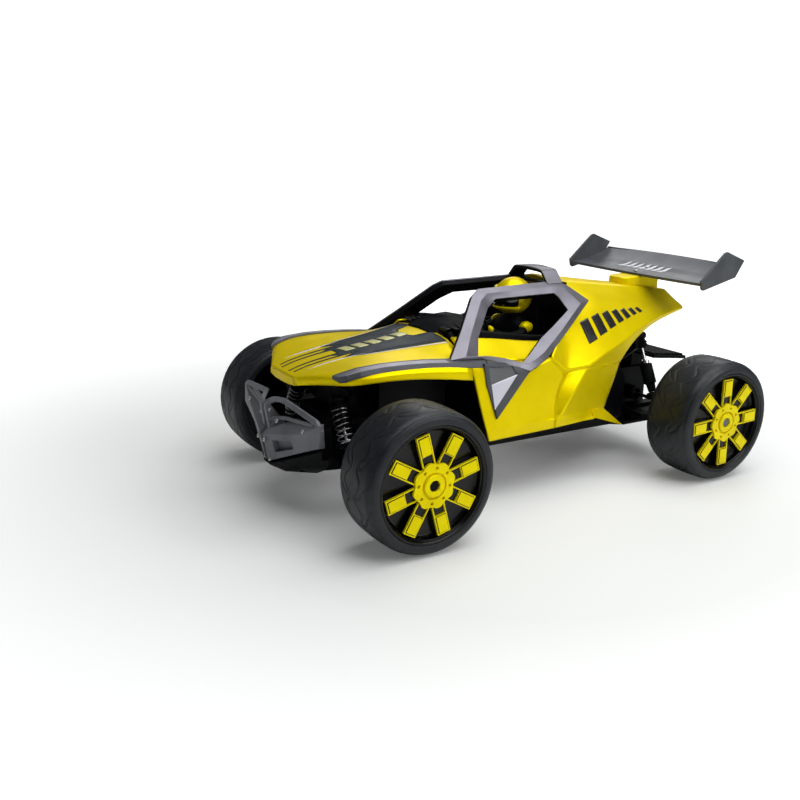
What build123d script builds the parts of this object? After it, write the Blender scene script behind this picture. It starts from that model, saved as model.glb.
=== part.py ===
"""Radio-controlled off-road buggy, about 1:8 scale, as separate working pieces.

Frame: +X forward, +Y to the car's left, +Z up, millimetres. The origin is on the ground
under the middle of the car.
"""

import os
from math import acos, cos, degrees, pi, radians, sin, tan

from build123d import *

os.makedirs("parts", exist_ok=True)

# ---------------------------------------------------------------- driving dimensions
wheelbase = 330.0
tyre_radius = 57.0
tyre_width = 50.0
front_axle_x = 156.0
rear_axle_x = front_axle_x - wheelbase
axle_z = tyre_radius
front_wheel_y = 126.0
rear_wheel_y = 115.0
nut_out = 23.2              # outer face of the wheel nut, from the middle of the wheel

fit = 0.05                  # radial clearance of a shaft in its hole
floor_z = 31.0              # underside of the chassis
floor_top = floor_z + 3.0
keel_y = 30.0               # half width of the flat floor, inside its sloping sides
wall_foot_z = 45.0          # top of the sloping sides, foot of the upright walls
shell_wall = 1.8

# front suspension: equal, parallel arms of length arm_span
front_inner_y = 26.0
arm_span = 50.0
front_outer_y = front_inner_y + arm_span
lower_pin_z = 44.0
upper_pin_z = 72.0
hinge_pin_r = 1.5
kingpin_y = 88.0
kingpin_r = 2.0
steer_arm = 18.0            # kingpin to tie-rod pin, and servo horn length
steer_x = front_axle_x - steer_arm
tie_rod_z = 61.5
servo_x = steer_x - steer_arm

# shocks: top and bottom eyes as (x, y, z)
front_shock_top = Vector(178.5, 35, 97)
front_shock_foot = Vector(178.5, 60, 56)
rear_shock_top = Vector(-158, 35, 121)
rear_shock_foot = Vector(-158, 62, 66)
shock_pin_r = 2.2
foot_pin_r = 1.8
foot_play = 0.6             # play at the open pivot at each shock's foot
eye_r = 4.0

# rear suspension and drive
rear_pin_y = 30.0
gear_module = 1.0
diff_teeth = 40
pinion_teeth = 12
mesh_angle = 30.0
gear_distance = gear_module * (diff_teeth + pinion_teeth) / 2
pinion_x = rear_axle_x + gear_distance * cos(radians(mesh_angle))
pinion_z = axle_z + gear_distance * sin(radians(mesh_angle))

# window plane of the roll cage: leans in by cage_lean per millimetre of height
cage_foot_y = 75.0
cage_foot_z = 123.0
cage_lean = 0.84


# ---------------------------------------------------------------- helpers
def across(x):
    """Plane facing +X; its own x is Y and its own y is Z."""
    return Plane.YZ.offset(x)


def along(y):
    """Plane facing -Y; its own x is X and its own y is Z."""
    return Plane.XZ.offset(-y)


def level(z):
    """Plane facing +Z at height z."""
    return Plane.XY.offset(z)


def bar_x(start, end, y, z, radius, mode=Mode.ADD):
    """Round bar along X from start to end, in the part being built."""
    with BuildSketch(across(start)) as section:
        with Locations((y, z)):
            Circle(radius)
    extrude(section.sketch, amount=end - start, mode=mode)


def bar_y(start, end, x, z, radius, mode=Mode.ADD):
    """Round bar along Y from start to end, in the part being built."""
    with BuildSketch(along(end)) as section:
        with Locations((x, z)):
            Circle(radius)
    extrude(section.sketch, amount=end - start, mode=mode)


def bar_z(start, end, x, y, radius, mode=Mode.ADD):
    """Round bar along Z from start to end, in the part being built."""
    with BuildSketch(level(start)) as section:
        with Locations((x, y)):
            Circle(radius)
    extrude(section.sketch, amount=end - start, mode=mode)


def block(x, y, z, mode=Mode.ADD):
    """Box between the two values given for each axis, in the part being built."""
    with BuildSketch(level(z[0])) as section:
        with Locations(((x[0] + x[1]) / 2, (y[0] + y[1]) / 2)):
            Rectangle(x[1] - x[0], y[1] - y[0])
    extrude(section.sketch, amount=z[1] - z[0], mode=mode)


def strut(start, end, radius):
    """Round bar with ball ends between two points, in the part being built."""
    start, end = Vector(start), Vector(end)
    with BuildSketch(Plane(origin=start, z_dir=end - start)) as section:
        Circle(radius)
    extrude(section.sketch, amount=(end - start).length)
    with Locations(start, end):
        Sphere(radius)


def plate(plane, points, thickness, mode=Mode.ADD):
    """Flat plate with a polygon outline, in the part being built."""
    with BuildSketch(plane) as section:
        Polygon(*points, align=None)
    extrude(section.sketch, amount=thickness, mode=mode)


def both_sides(half):
    """Closed outline from its half at y >= 0, given from the centre line outwards."""
    return half + [(-y, z) for y, z in reversed(half) if y > 0]


def save(shape, name):
    """Label one finished piece and write it."""
    shape.label = name
    export_step(shape, f"parts/{name}.step")


def save_pair(shape, stem):
    """Write a left-hand piece and its mirror image."""
    mirrored = mirror(shape, about=Plane.XZ)
    save(shape, stem + "_l")
    save(mirrored, stem + "_r")


# ---------------------------------------------------------------- wheels
def make_wheel(corner, axle_x, centre_y, bore_r):
    """Tyre, rim and spoke insert of one wheel; positive centre_y is the left side."""
    side = 1 if centre_y > 0 else -1
    centre = (axle_x, centre_y, axle_z)
    half_plane = Plane(origin=centre, x_dir=(0, side, 0), z_dir=(side, 0, 0))
    face_plane = Plane(origin=centre, x_dir=(side, 0, 0), z_dir=(0, side, 0))
    spin = Axis(centre, (0, 1, 0))
    half = tyre_width / 2
    bead_r, seat_r, barrel_r = 47.0, 44.0, 41.0
    shoulder_r = tyre_radius - 6

    with BuildPart() as tyre:
        with BuildSketch(half_plane):
            with BuildLine():
                ThreePointArc((-19, 56.2), (0, tyre_radius), (19, 56.2))
                ThreePointArc((-19, 56.2), (-23.6, 54.6), (-half, shoulder_r))
                ThreePointArc((19, 56.2), (23.6, 54.6), (half, shoulder_r))
                Polyline((half, shoulder_r), (half, bead_r), (22.5, bead_r),
                         (22.5, seat_r), (17, seat_r), (17, 53), (-17, 53), (-17, seat_r),
                         (-22.5, seat_r), (-22.5, bead_r), (-half, bead_r),
                         (-half, shoulder_r))
            make_face()
        revolve(axis=spin)
    save(tyre.part, f"tyre_{corner}")

    with BuildPart() as rim:
        with BuildSketch(half_plane):
            Polygon((-24.5, 46.9), (-22.5, 46.9), (-22.5, seat_r), (22.5, seat_r),
                    (22.5, 46.9), (24.5, 46.9), (24.5, 43.8), (20.5, 42.4),
                    (18, barrel_r), (18, 9.5), (21, 9.5), (21, bore_r), (-8, bore_r),
                    (-8, 8), (12, 8), (15, 12), (15, 38), (12, barrel_r),
                    (-24.5, barrel_r), align=None)
        revolve(axis=spin)
        with BuildSketch(face_plane.offset(17.5)):
            with PolarLocations(28, 8, start_angle=spoke_phase[corner]):
                Rectangle(24, 9)
        extrude(amount=3.5)
    save(rim.part, f"rim_{corner}")

    with BuildPart() as spokes:
        with BuildSketch(face_plane.offset(21)):
            Circle(18)
            with PolarLocations(28.75, 8, start_angle=spoke_phase[corner]):
                Rectangle(25.5, 11.6)
            with PolarLocations(22.5, 8, start_angle=spoke_phase[corner]):
                Rectangle(5.5, 6, mode=Mode.SUBTRACT)
            with PolarLocations(13.6, 8, start_angle=spoke_phase[corner] + 22.5):
                Circle(1.6, mode=Mode.SUBTRACT)
        extrude(amount=3)
        with BuildSketch(face_plane.offset(24)):
            Circle(9.5)
        extrude(amount=1)
        with BuildSketch(face_plane.offset(21)):
            Circle(4.3)
        extrude(amount=4, mode=Mode.SUBTRACT)
    save(spokes.part, f"spokes_{corner}")


spoke_phase = {"fl": 15.0, "fr": 8.0, "rl": 3.0, "rr": 20.0}
for end, axle_x, wheel_y, bore in (("f", front_axle_x, front_wheel_y, 3.0 + fit),
                                   ("r", rear_axle_x, rear_wheel_y, 3.0)):
    make_wheel(end + "l", axle_x, wheel_y, bore)
    make_wheel(end + "r", axle_x, -wheel_y, bore)

# ---------------------------------------------------------------- front suspension, left side
lower_rear_ear = (142.0, 147.5)
lower_front_ear = (164.5, 170.0)
upper_rear_ear = (144.0, 149.5)
upper_front_ear = (162.5, 168.0)
outer_rear_ear = (146.0, 150.7)
outer_front_ear = (161.3, 166.0)
hub_x = (151.0, 161.0)

with BuildPart() as front_lower_arm:
    plate(level(41.5), [(142, 26), (147.5, 26), (147.5, 36), (164.5, 36), (164.5, 26),
                        (170, 26), (170, 62), (166, 70), (166, 76), (161.3, 76), (161.3, 69),
                        (150.7, 69), (150.7, 76), (146, 76), (146, 70), (142, 58)], 5)
    for ear in (lower_rear_ear, lower_front_ear):
        bar_x(*ear, front_inner_y, lower_pin_z, eye_r)
    for ear in (outer_rear_ear, outer_front_ear):
        bar_x(*ear, front_outer_y, lower_pin_z, eye_r)
    bar_x(142, 170, front_inner_y, lower_pin_z, hinge_pin_r)
    bar_x(146, 166, front_outer_y, lower_pin_z, hinge_pin_r)
    plate(across(166.5), [(52, 44), (69, 44), (64.5, 58), (62, 60), (58, 60), (55.5, 58)], 3.5)
    bar_x(170, 184, front_shock_foot.Y, front_shock_foot.Z, foot_pin_r)
    bar_x(183, 184.5, front_shock_foot.Y, front_shock_foot.Z, 3.4)
save_pair(front_lower_arm.part, "front_lower_arm")

with BuildPart() as front_upper_arm:
    plate(level(70), [(144, 26), (149.5, 26), (149.5, 36), (162.5, 36), (162.5, 26),
                      (168, 26), (168, 40), (166, 68), (166, 76), (161.3, 76), (161.3, 69),
                      (150.7, 69), (150.7, 76), (146, 76), (146, 68), (144, 40)], 4)
    for ear in (upper_rear_ear, upper_front_ear):
        bar_x(*ear, front_inner_y, upper_pin_z, 3.5)
    for ear in (outer_rear_ear, outer_front_ear):
        bar_x(*ear, front_outer_y, upper_pin_z, 3.5)
    bar_x(144, 168, front_inner_y, upper_pin_z, hinge_pin_r)
    bar_x(146, 166, front_outer_y, upper_pin_z, hinge_pin_r)
save_pair(front_upper_arm.part, "front_upper_arm")

with BuildPart() as steering_hub:
    block(hub_x, (73.5, 79.3), (40, 76))
    for z, radius in ((lower_pin_z, 4), (upper_pin_z, 3.5)):
        bar_x(*hub_x, front_outer_y, z, radius)
        bar_x(*hub_x, front_outer_y, z, hinge_pin_r + fit, mode=Mode.SUBTRACT)
    for low, high in ((40, 47), (69, 76)):
        with BuildSketch(level(low)) as cheek:
            with Locations((front_axle_x, 84)):
                Rectangle(10, 11)
            with Locations((front_axle_x, kingpin_y)):
                Circle(5.5)
        extrude(cheek.sketch, amount=high - low)
    bar_z(47, 52, front_axle_x, kingpin_y, kingpin_r)
    bar_z(64, 69, front_axle_x, kingpin_y, kingpin_r)
    for z in (lower_pin_z, upper_pin_z):
        bar_x(*hub_x, front_outer_y, z, hinge_pin_r + fit, mode=Mode.SUBTRACT)
save_pair(steering_hub.part, "steering_hub")

with BuildPart() as knuckle:
    block((150, 162), (83.2, 94), (47.5, 68.5))
    bar_z(47.5, 52.5, front_axle_x, kingpin_y, kingpin_r + fit, mode=Mode.SUBTRACT)
    bar_z(63.5, 68.5, front_axle_x, kingpin_y, kingpin_r + fit, mode=Mode.SUBTRACT)
    with BuildSketch(level(54)) as steering_arm:
        with Locations(((steer_x + 152) / 2, kingpin_y)):
            Rectangle(152 - steer_x, 6)
        with Locations((steer_x, kingpin_y)):
            Circle(3.6)
    extrude(steering_arm.sketch, amount=4)
    bar_z(58, 66, steer_x, kingpin_y, foot_pin_r)
    bar_y(94, front_wheel_y - 8.3, front_axle_x, axle_z, 5)
    bar_y(front_wheel_y - 8.3, front_wheel_y + 21.3, front_axle_x, axle_z, 3)
    with BuildSketch(along(front_wheel_y + nut_out)) as wheel_nut:
        with Locations((front_axle_x, axle_z)):
            RegularPolygon(4, 6)
    extrude(wheel_nut.sketch, amount=nut_out - 21.3)
save_pair(knuckle.part, "knuckle")

tie_play = 0.6
tie_travel_x = steer_arm * (1 - cos(radians(20)))
with BuildPart() as tie_rod:
    with BuildSketch(level(tie_rod_z - 2)) as ring:
        with Locations((steer_x + tie_travel_x / 2, kingpin_y)):
            SlotCenterToCenter(tie_travel_x, 2 * (foot_pin_r + tie_play + 2))
    extrude(ring.sketch, amount=4)
    bar_y(kingpin_y - arm_span + 2, kingpin_y - 3.5, steer_x, tie_rod_z, 1.4)
    bar_x(steer_x - 1.4, steer_x + 1.4, kingpin_y - arm_span, tie_rod_z, 3)
    bar_x(steer_x - 1.4, steer_x + 1.4, kingpin_y - arm_span, tie_rod_z, 1.2 + fit,
          mode=Mode.SUBTRACT)
    with BuildSketch(level(tie_rod_z - 3)) as slot:
        with Locations((steer_x + tie_travel_x / 2, kingpin_y)):
            SlotCenterToCenter(tie_travel_x, 2 * (foot_pin_r + tie_play))
    extrude(slot.sketch, amount=6, mode=Mode.SUBTRACT)
save_pair(tie_rod.part, "tie_rod")

with BuildPart() as steering_bar:
    block((steer_x - 3, steer_x + 3), (-34, 34), (59, 64))
    block((steer_x - 6, steer_x + 5), (-6, 6), (59, 64))
    for side in (-1, 1):
        for low, high in ((steer_x - 4.4, steer_x - 1.6), (steer_x + 1.6, steer_x + 4.4)):
            bar_x(low, high, side * (kingpin_y - arm_span), tie_rod_z, 3)
            block((low, high), sorted((side * 30, side * 38)), (59, 64))
        block((steer_x - 4.4, steer_x + 4.4), sorted((side * 30, side * 34)), (59, 64))
        bar_x(steer_x - 4, steer_x + 4, side * (kingpin_y - arm_span), tie_rod_z, 1.2)
    with BuildSketch(level(58)) as slot:
        with Locations((steer_x - tie_travel_x / 2, 0)):
            SlotCenterToCenter(tie_travel_x, 2 * (1.6 + 0.2))
    extrude(slot.sketch, amount=8, mode=Mode.SUBTRACT)
save(steering_bar.part, "steering_bar")

with BuildPart() as servo_horn:
    with BuildSketch(level(54.5)) as lever:
        with BuildLine():
            Polyline((servo_x, 4.5), (steer_x, 3), (steer_x, -3), (servo_x, -4.5), close=True)
        make_face()
        with Locations((servo_x, 0)):
            Circle(5)
        with Locations((steer_x, 0)):
            Circle(3)
    extrude(lever.sketch, amount=3.5)
    bar_z(58, 65.5, steer_x, 0, 1.6)
    bar_z(47, 54.5, servo_x, 0, 2.5)
save(servo_horn.part, "servo_horn")

with BuildPart() as servo:
    block((servo_x - 18, servo_x + 14), (-10, 10), (floor_top, 52))
    block((servo_x - 23, servo_x + 19), (-10, 10), (42, 44.5))
    bar_z(52, 54, servo_x, 0, 5.5)
    bar_z(46.5, 54, servo_x, 0, 2.5 + fit, mode=Mode.SUBTRACT)
save(servo.part, "servo")


# ---------------------------------------------------------------- shocks, left side
def eye_on(point, half_length, radius, mode=Mode.ADD):
    """Eye along X around a shock's end point."""
    bar_x(point.X - half_length, point.X + half_length, point.Y, point.Z, radius, mode)


def shaft_on(plane, start, end, radius, mode=Mode.ADD):
    """Round length along a shock's own axis, from its top eye."""
    with BuildSketch(plane.offset(start)) as section:
        Circle(radius)
    extrude(section.sketch, amount=end - start, mode=mode)


def make_spring(plane, start, end, radius, wire, turns):
    """Coil spring along a shock's own axis."""
    with BuildPart() as spring:
        with BuildLine() as coil:
            Helix(pitch=(end - start) / turns, height=end - start, radius=radius,
                  center=plane.origin + plane.z_dir * start, direction=plane.z_dir)
        with BuildSketch(Plane(coil.line @ 0, z_dir=coil.line % 0)):
            Circle(wire)
        sweep(path=coil.line, is_frenet=True)
    return spring.part


front_shock_axis = Plane(origin=front_shock_top, x_dir=(1, 0, 0),
                         z_dir=front_shock_foot - front_shock_top)
front_shock_length = (front_shock_foot - front_shock_top).length
with BuildPart() as front_shock_body:
    eye_on(front_shock_top, 4, eye_r)
    shaft_on(front_shock_axis, 3, 24, 3.5)
    shaft_on(front_shock_axis, 5.5, 24, 5.5)
    shaft_on(front_shock_axis, 5.5, 8, 7.4)
    shaft_on(front_shock_axis, 10, 25, 1.6 + fit, mode=Mode.SUBTRACT)
    eye_on(front_shock_top, 5, shock_pin_r + fit, mode=Mode.SUBTRACT)
save_pair(front_shock_body.part, "front_shock_body")

with BuildPart() as front_shock_rod:
    shaft_on(front_shock_axis, 19, front_shock_length - 2, 1.6)
    shaft_on(front_shock_axis, 38, 40.5, 7.4)
    eye_on(front_shock_foot, 4, eye_r)
    eye_on(front_shock_foot, 5, foot_pin_r + foot_play, mode=Mode.SUBTRACT)
save_pair(front_shock_rod.part, "front_shock_rod")

save_pair(make_spring(front_shock_axis, 8.8, 37.2, 6.5, 0.6, 7), "front_spring")

rear_shock_axis = Plane(origin=rear_shock_top, x_dir=(1, 0, 0),
                        z_dir=rear_shock_foot - rear_shock_top)
rear_shock_length = (rear_shock_foot - rear_shock_top).length
with BuildPart() as rear_shock_rod:
    eye_on(rear_shock_top, 4, eye_r)
    shaft_on(rear_shock_axis, 5.5, 11, 5.5)
    shaft_on(rear_shock_axis, 3, 34, 1.8)
    shaft_on(rear_shock_axis, 33, 35, 4.2)
    eye_on(rear_shock_top, 5, shock_pin_r + fit, mode=Mode.SUBTRACT)
save_pair(rear_shock_rod.part, "rear_shock_rod")

with BuildPart() as rear_shock_body:
    shaft_on(rear_shock_axis, 29, 49.5, 6)
    shaft_on(rear_shock_axis, 49, rear_shock_length - 3, 3.8)
    shaft_on(rear_shock_axis, 31, 47.5, 4.2 + fit, mode=Mode.SUBTRACT)
    shaft_on(rear_shock_axis, 28, 32, 1.8 + fit, mode=Mode.SUBTRACT)
    eye_on(rear_shock_foot, 4, eye_r)
    eye_on(rear_shock_foot, 6.5, foot_pin_r + foot_play, mode=Mode.SUBTRACT)
save_pair(rear_shock_body.part, "rear_shock_body")

save_pair(make_spring(rear_shock_axis, 35.6, 46.9, 3.4, 0.45, 5), "rear_spring")

# ---------------------------------------------------------------- rear suspension, left side
rear_rear_ear = (-198.0, -190.5)
rear_front_ear = (-157.5, -150.0)
with BuildPart() as rear_arm:
    plate(level(41), [(-198, 30), (-190.5, 30), (-190.5, 40), (-157.5, 40), (-157.5, 30),
                      (-150, 30), (-150, 56), (-160, 70), (-164, 84), (-184, 84),
                      (-190, 66), (-198, 50)], 6)
    for ear in (rear_rear_ear, rear_front_ear):
        bar_x(*ear, rear_pin_y, lower_pin_z, eye_r)
    bar_x(-198, -150, rear_pin_y, lower_pin_z, hinge_pin_r)
    block((-183, -165.2), (71, 84), (41, 67.5))
    plate(across(-166), [(54, 44), (70, 44), (67, 66), (65, 69.5), (59, 69.5), (57, 66)], 3.5)
    bar_x(-162.5, -152, rear_shock_foot.Y, rear_shock_foot.Z, foot_pin_r)
    bar_x(-153.3, -151.8, rear_shock_foot.Y, rear_shock_foot.Z, 3.4)
    bar_y(71, 84, rear_axle_x, axle_z, 4 + fit, mode=Mode.SUBTRACT)
save_pair(rear_arm.part, "rear_arm")

axle_cup_y = 64.0
diff_cup_y = 20.0
with BuildPart() as rear_axle:
    bar_y(60, 70.5, rear_axle_x, axle_z, 6.5)
    bar_y(60, 68, rear_axle_x, axle_z, 4.2, mode=Mode.SUBTRACT)
    bar_y(70.5, rear_wheel_y - 8, rear_axle_x, axle_z, 4)
    bar_y(rear_wheel_y - 8, rear_wheel_y + 21, rear_axle_x, axle_z, 3)
    with BuildSketch(along(rear_wheel_y + nut_out)) as wheel_nut:
        with Locations((rear_axle_x, axle_z)):
            RegularPolygon(4, 6)
    extrude(wheel_nut.sketch, amount=nut_out - 21)
save_pair(rear_axle.part, "rear_axle")

with BuildPart() as dogbone:
    bar_y(diff_cup_y, axle_cup_y, rear_axle_x, axle_z, 1.8)
    with Locations((rear_axle_x, diff_cup_y, axle_z), (rear_axle_x, axle_cup_y, axle_z)):
        Sphere(2.6)
    bar_z(axle_z - 4, axle_z + 4, rear_axle_x, axle_cup_y, 1)
save_pair(dogbone.part, "dogbone")


# ---------------------------------------------------------------- drive train
def gear_outline(teeth, phase, backlash=0.16):
    """Involute tooth outline as (x, z) offsets; phase in degrees points at one tooth."""
    pitch_r = gear_module * teeth / 2
    base_r = pitch_r * cos(radians(20))
    tip_r = pitch_r + 0.85 * gear_module
    root_r = pitch_r - 1.2 * gear_module
    half_tooth = pi / (2 * teeth) - backlash / (2 * pitch_r) + tan(radians(20)) - radians(20)
    low_r = max(base_r, root_r)
    flank = []
    for step in range(5):
        radius = low_r + (tip_r - low_r) * step / 4
        roll = acos(min(1.0, base_r / radius))
        flank.append((radius, half_tooth - (tan(roll) - roll)))
    flank.insert(0, (root_r, flank[0][1]))
    points = []
    for tooth in range(teeth):
        centre = radians(phase) + 2 * pi * tooth / teeth
        for radius, spread in flank:
            points.append((radius * cos(centre - spread), radius * sin(centre - spread)))
        for radius, spread in reversed(flank):
            points.append((radius * cos(centre + spread), radius * sin(centre + spread)))
    return points


with BuildPart() as diff_gear:
    with BuildSketch(along(3.5)) as teeth:
        with Locations((rear_axle_x, axle_z)):
            Polygon(*gear_outline(diff_teeth, mesh_angle), align=None)
    extrude(teeth.sketch, amount=7)
    bar_y(-8, 8, rear_axle_x, axle_z, 11)
    bar_y(-11.5, 11.5, rear_axle_x, axle_z, 6)
    for side in (-1, 1):
        near, far = sorted((side * 11.5, side * 24))
        bar_y(near, far, rear_axle_x, axle_z, 7.2)
        near, far = sorted((side * 14, side * 24))
        bar_y(near, far, rear_axle_x, axle_z, 5.4, mode=Mode.SUBTRACT)
save(diff_gear.part, "diff_gear")

with BuildPart() as motor_pinion:
    with BuildSketch(along(3)) as teeth:
        with Locations((pinion_x, pinion_z)):
            Polygon(*gear_outline(pinion_teeth, mesh_angle + 180 + 180 / pinion_teeth),
                    align=None)
    extrude(teeth.sketch, amount=6)
    bar_y(-20, 5, pinion_x, pinion_z, 1.5)
save(motor_pinion.part, "motor_pinion")

with BuildPart() as drive_motor:
    bar_y(-44, -11, pinion_x, pinion_z, 12)
    bar_y(-45.5, -44, pinion_x, pinion_z, 4)
    with BuildSketch(along(-12)) as vents:
        with Locations((pinion_x, pinion_z)):
            with PolarLocations(8, 4):
                SlotOverall(5, 2)
    extrude(vents.sketch, amount=3, both=True, mode=Mode.SUBTRACT)
    bar_y(-20, -10, pinion_x, pinion_z, 1.5 + fit, mode=Mode.SUBTRACT)
save(drive_motor.part, "drive_motor")

tower_x = -152.0
with BuildPart() as gearbox_case:
    block((-198, -140), (-11, 11), (floor_top, 82))
    block((-196, -142), (-9, 9), (floor_top + 1.5, 80), mode=Mode.SUBTRACT)
    bar_y(-11, 11, rear_axle_x, axle_z, 6 + fit, mode=Mode.SUBTRACT)
    bar_y(-11, -9, pinion_x, pinion_z, 1.5 + 4 * fit, mode=Mode.SUBTRACT)
    block((tower_x, tower_x + 8), (-10, 10), (82, 96))
    plate(across(tower_x), both_sides([(0, 88), (14, 88), (42, 110), (42, 125), (39, 127),
                                       (30, 127), (14, 108), (0, 108)]), 4)
    for side in (-1, 1):
        bar_x(tower_x - 11.7, tower_x, side * rear_shock_top.Y, rear_shock_top.Z, shock_pin_r)
        bar_x(tower_x - 13.2, tower_x - 11, side * rear_shock_top.Y, rear_shock_top.Z, 3.3)
    block((-194, -178), (-9, 9), (82, 100))
    plate(along(48), [(-168, 103), (-168, 100), (-214, 95), (-214, 98)], 96)
    for rib in range(8):
        rib_x = -171 - 5.5 * rib
        rib_z = 103 - (-168 - rib_x) * 5 / 46
        block((rib_x - 2, rib_x), (-46, 46), (rib_z - 1, rib_z + 1.6))
save(gearbox_case.part, "gearbox_case")

# ---------------------------------------------------------------- chassis
screw_r = 2.4
pocket_depth = 1.4
underside_screws = [(176, 12), (156, 14), (108, 26), (104, 8), (-128, 26), (-186, 32),
                    (-162, 32), (-100, 26)]
with BuildPart() as chassis_tub:
    plate(level(floor_z), [(188, 0), (188, 18), (172, 22), (134, 24), (118, keel_y),
                           (-134, keel_y), (-146, 38), (-200, 38), (-200, -38), (-146, -38),
                           (-134, -keel_y), (118, -keel_y), (134, -24), (172, -22),
                           (188, -18)], 3)
    for side in (-1, 1):
        slope = [(keel_y - 2, floor_z), (keel_y, floor_z), (45, wall_foot_z), (45, 66), (42, 66),
                 (42, wall_foot_z + 1.4), (keel_y - 1.2, floor_top), (keel_y - 2, floor_top)]
        plate(across(-134), [(side * y, z) for y, z in slope], 250)
        wall = sorted((side * 42, side * 45))
        plate(along(max(wall)), [(-62, wall_foot_z), (-62, 84), (-70, 96), (-126, 96),
                                 (-134, 84), (-134, wall_foot_z)], 3)
        inner_fender = sorted((side * 36, side * 38))
        plate(along(max(inner_fender)), [(74, 62), (124, 62), (128, 72), (140, 72), (140, 112),
                                         (74, 112)], 2)
        block((110, 116), sorted((side * 37, side * 43)), (62, 66))
        lug = sorted((side * 24.5, side * 35.5))
        block((-190, -158), lug, (floor_top, 50))
        bar_x(-190, -158, side * rear_pin_y, lower_pin_z, hinge_pin_r + fit, mode=Mode.SUBTRACT)
        bar_z(38, 128, 96, side * 33, 3.5)
        bar_z(43, 74, -108, side * 37.5, 3.5)
        for x, y in underside_screws:
            bar_z(floor_z, floor_z + pocket_depth, x, side * y, screw_r + fit,
                  mode=Mode.SUBTRACT)
    plate(across(-114), both_sides([(0, floor_top), (keel_y - 1.2, floor_top),
                                    (42.5, wall_foot_z + 1.9), (42.5, 60), (0, 60)]), 4)
    block((-68, 78), (-26, 26), (floor_z, floor_top), mode=Mode.SUBTRACT)
    block((86.8, 95.4), (15.8, 20.2), (floor_z, floor_top), mode=Mode.SUBTRACT)
save(chassis_tub.part, "chassis_tub")

with BuildPart() as battery_cover:
    block((-67.7, 77.7), (-25.7, 25.7), (floor_z, floor_top))
    for rib in range(9):
        block((-58 + 14 * rib, -56 + 14 * rib), (-20, 20), (floor_z, floor_z + 1),
              mode=Mode.SUBTRACT)
save(battery_cover.part, "battery_cover")

with BuildPart() as battery_pack:
    with BuildSketch(across(-60)):
        with Locations([(y, floor_top + 10) for y in (-16, 0, 16)]):
            Circle(9.5)
    extrude(amount=124)
save(battery_pack.part, "battery_pack")

with BuildPart() as power_switch:
    block((87, 91), (16, 20), (floor_z + 0.2, floor_top + 0.5))
    block((84.5, 93.5), (14, 22), (floor_top + 0.1, floor_top + 2))
save(power_switch.part, "power_switch")

with BuildPart() as front_bulkhead:
    block((148, 164), (-31, 31), (floor_top, 50))
    block((150, 162), (-31, 31), (50, 77))
    block((150, 170), (-14, 14), (floor_top, 96))
    plate(across(166), both_sides([(0, 82), (18, 82), (30, 86), (40, 91), (42, 100),
                                   (38, 104), (0, 104)]), 4)
    block((170, 188), (-24, 24), (floor_top, 62))
    block((170, 186), (-20, 20), (62, 84))
    plate(along(20), [(166.5, 84), (166.5, 110), (110, 112), (104, 100), (112, 84)], 40)
    for side in (-1, 1):
        bar_x(170, 184, side * front_shock_top.Y, front_shock_top.Z, shock_pin_r)
        bar_x(183, 184.5, side * front_shock_top.Y, front_shock_top.Z, 3.3)
        bar_x(148, 164, side * front_inner_y, lower_pin_z, hinge_pin_r + fit,
              mode=Mode.SUBTRACT)
        bar_x(150, 162, side * front_inner_y, upper_pin_z, hinge_pin_r + fit,
              mode=Mode.SUBTRACT)
save(front_bulkhead.part, "front_bulkhead")

# ---------------------------------------------------------------- front bumper
with BuildPart() as front_bumper:
    for side in (-1, 1):
        sections = []
        for y, front, back, low, high in ((0, 231, 214, 40, 70), (47, 219.5, 206, 59, 79),
                                          (74, 216, 206, 72, 91)):
            with BuildSketch(along(side * y)) as section:
                Polygon((back, low + 2), (front - 5, low), (front, high - 6),
                        (front - 3, high), (back, high), align=None)
            sections.append(section.sketch)
        loft(sections, ruled=True)
    for side in (-1, 1):
        loop = [(223, side * 4, 64), (227, side * 4, 93), (217, side * 17, 97),
                (212, side * 70, 91), (211, side * 70, 84)]
        for low, high in zip(loop, loop[1:]):
            strut(low, high, 2.6)
        stay = [(224.5, side * 4, 80), (216, side * 22, 84), (211, side * 66, 86)]
        for low, high in zip(stay, stay[1:]):
            strut(low, high, 2)
    block((188, 212), (-13, 13), (42, 54))
    block((188, 214), (-22, 22), (floor_z + 1, 42))
    plate(along(9), [(204, 42), (204, 62), (226, 62), (224, 42)], 18)
save(front_bumper.part, "front_bumper")

# ---------------------------------------------------------------- body shell
# Half sections as (y, z): centre line, ridge, shoulder, edge, lower lip.
front_sections = {
    212: [(0, 116.8), (14, 116.6), (21, 116), (22, 112.5), (22.5, 109)],
    196: [(0, 122), (20, 122.2), (37, 122.5), (39, 118), (40, 114)],
    191: [(0, 123.5), (24, 124), (60, 125), (76, 122), (76.5, 118)],
    157: [(0, 129.5), (27, 129), (62, 128.5), (77, 123), (77.5, 118)],
    116: [(0, 135), (33, 133), (64, 129.5), (77.5, 123), (78, 117)],
    75: [(0, 142.5), (42, 141.5), (65, 128), (78, 122), (78.5, 112)],
}
middle_sections = {
    75: [(0, 142.5), (42, 141.5), (65, 128), (78, 122), (79.5, 56)],
    50: [(0, 143.5), (48, 142), (67, 126), (79, 121), (80, 55)],
    0: [(0, 134), (51, 133), (70, 123), (78, 118), (80, 58)],
    -62: [(0, 152), (46.5, 152), (52, 150), (73, 117), (78, 60)],
}
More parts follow.
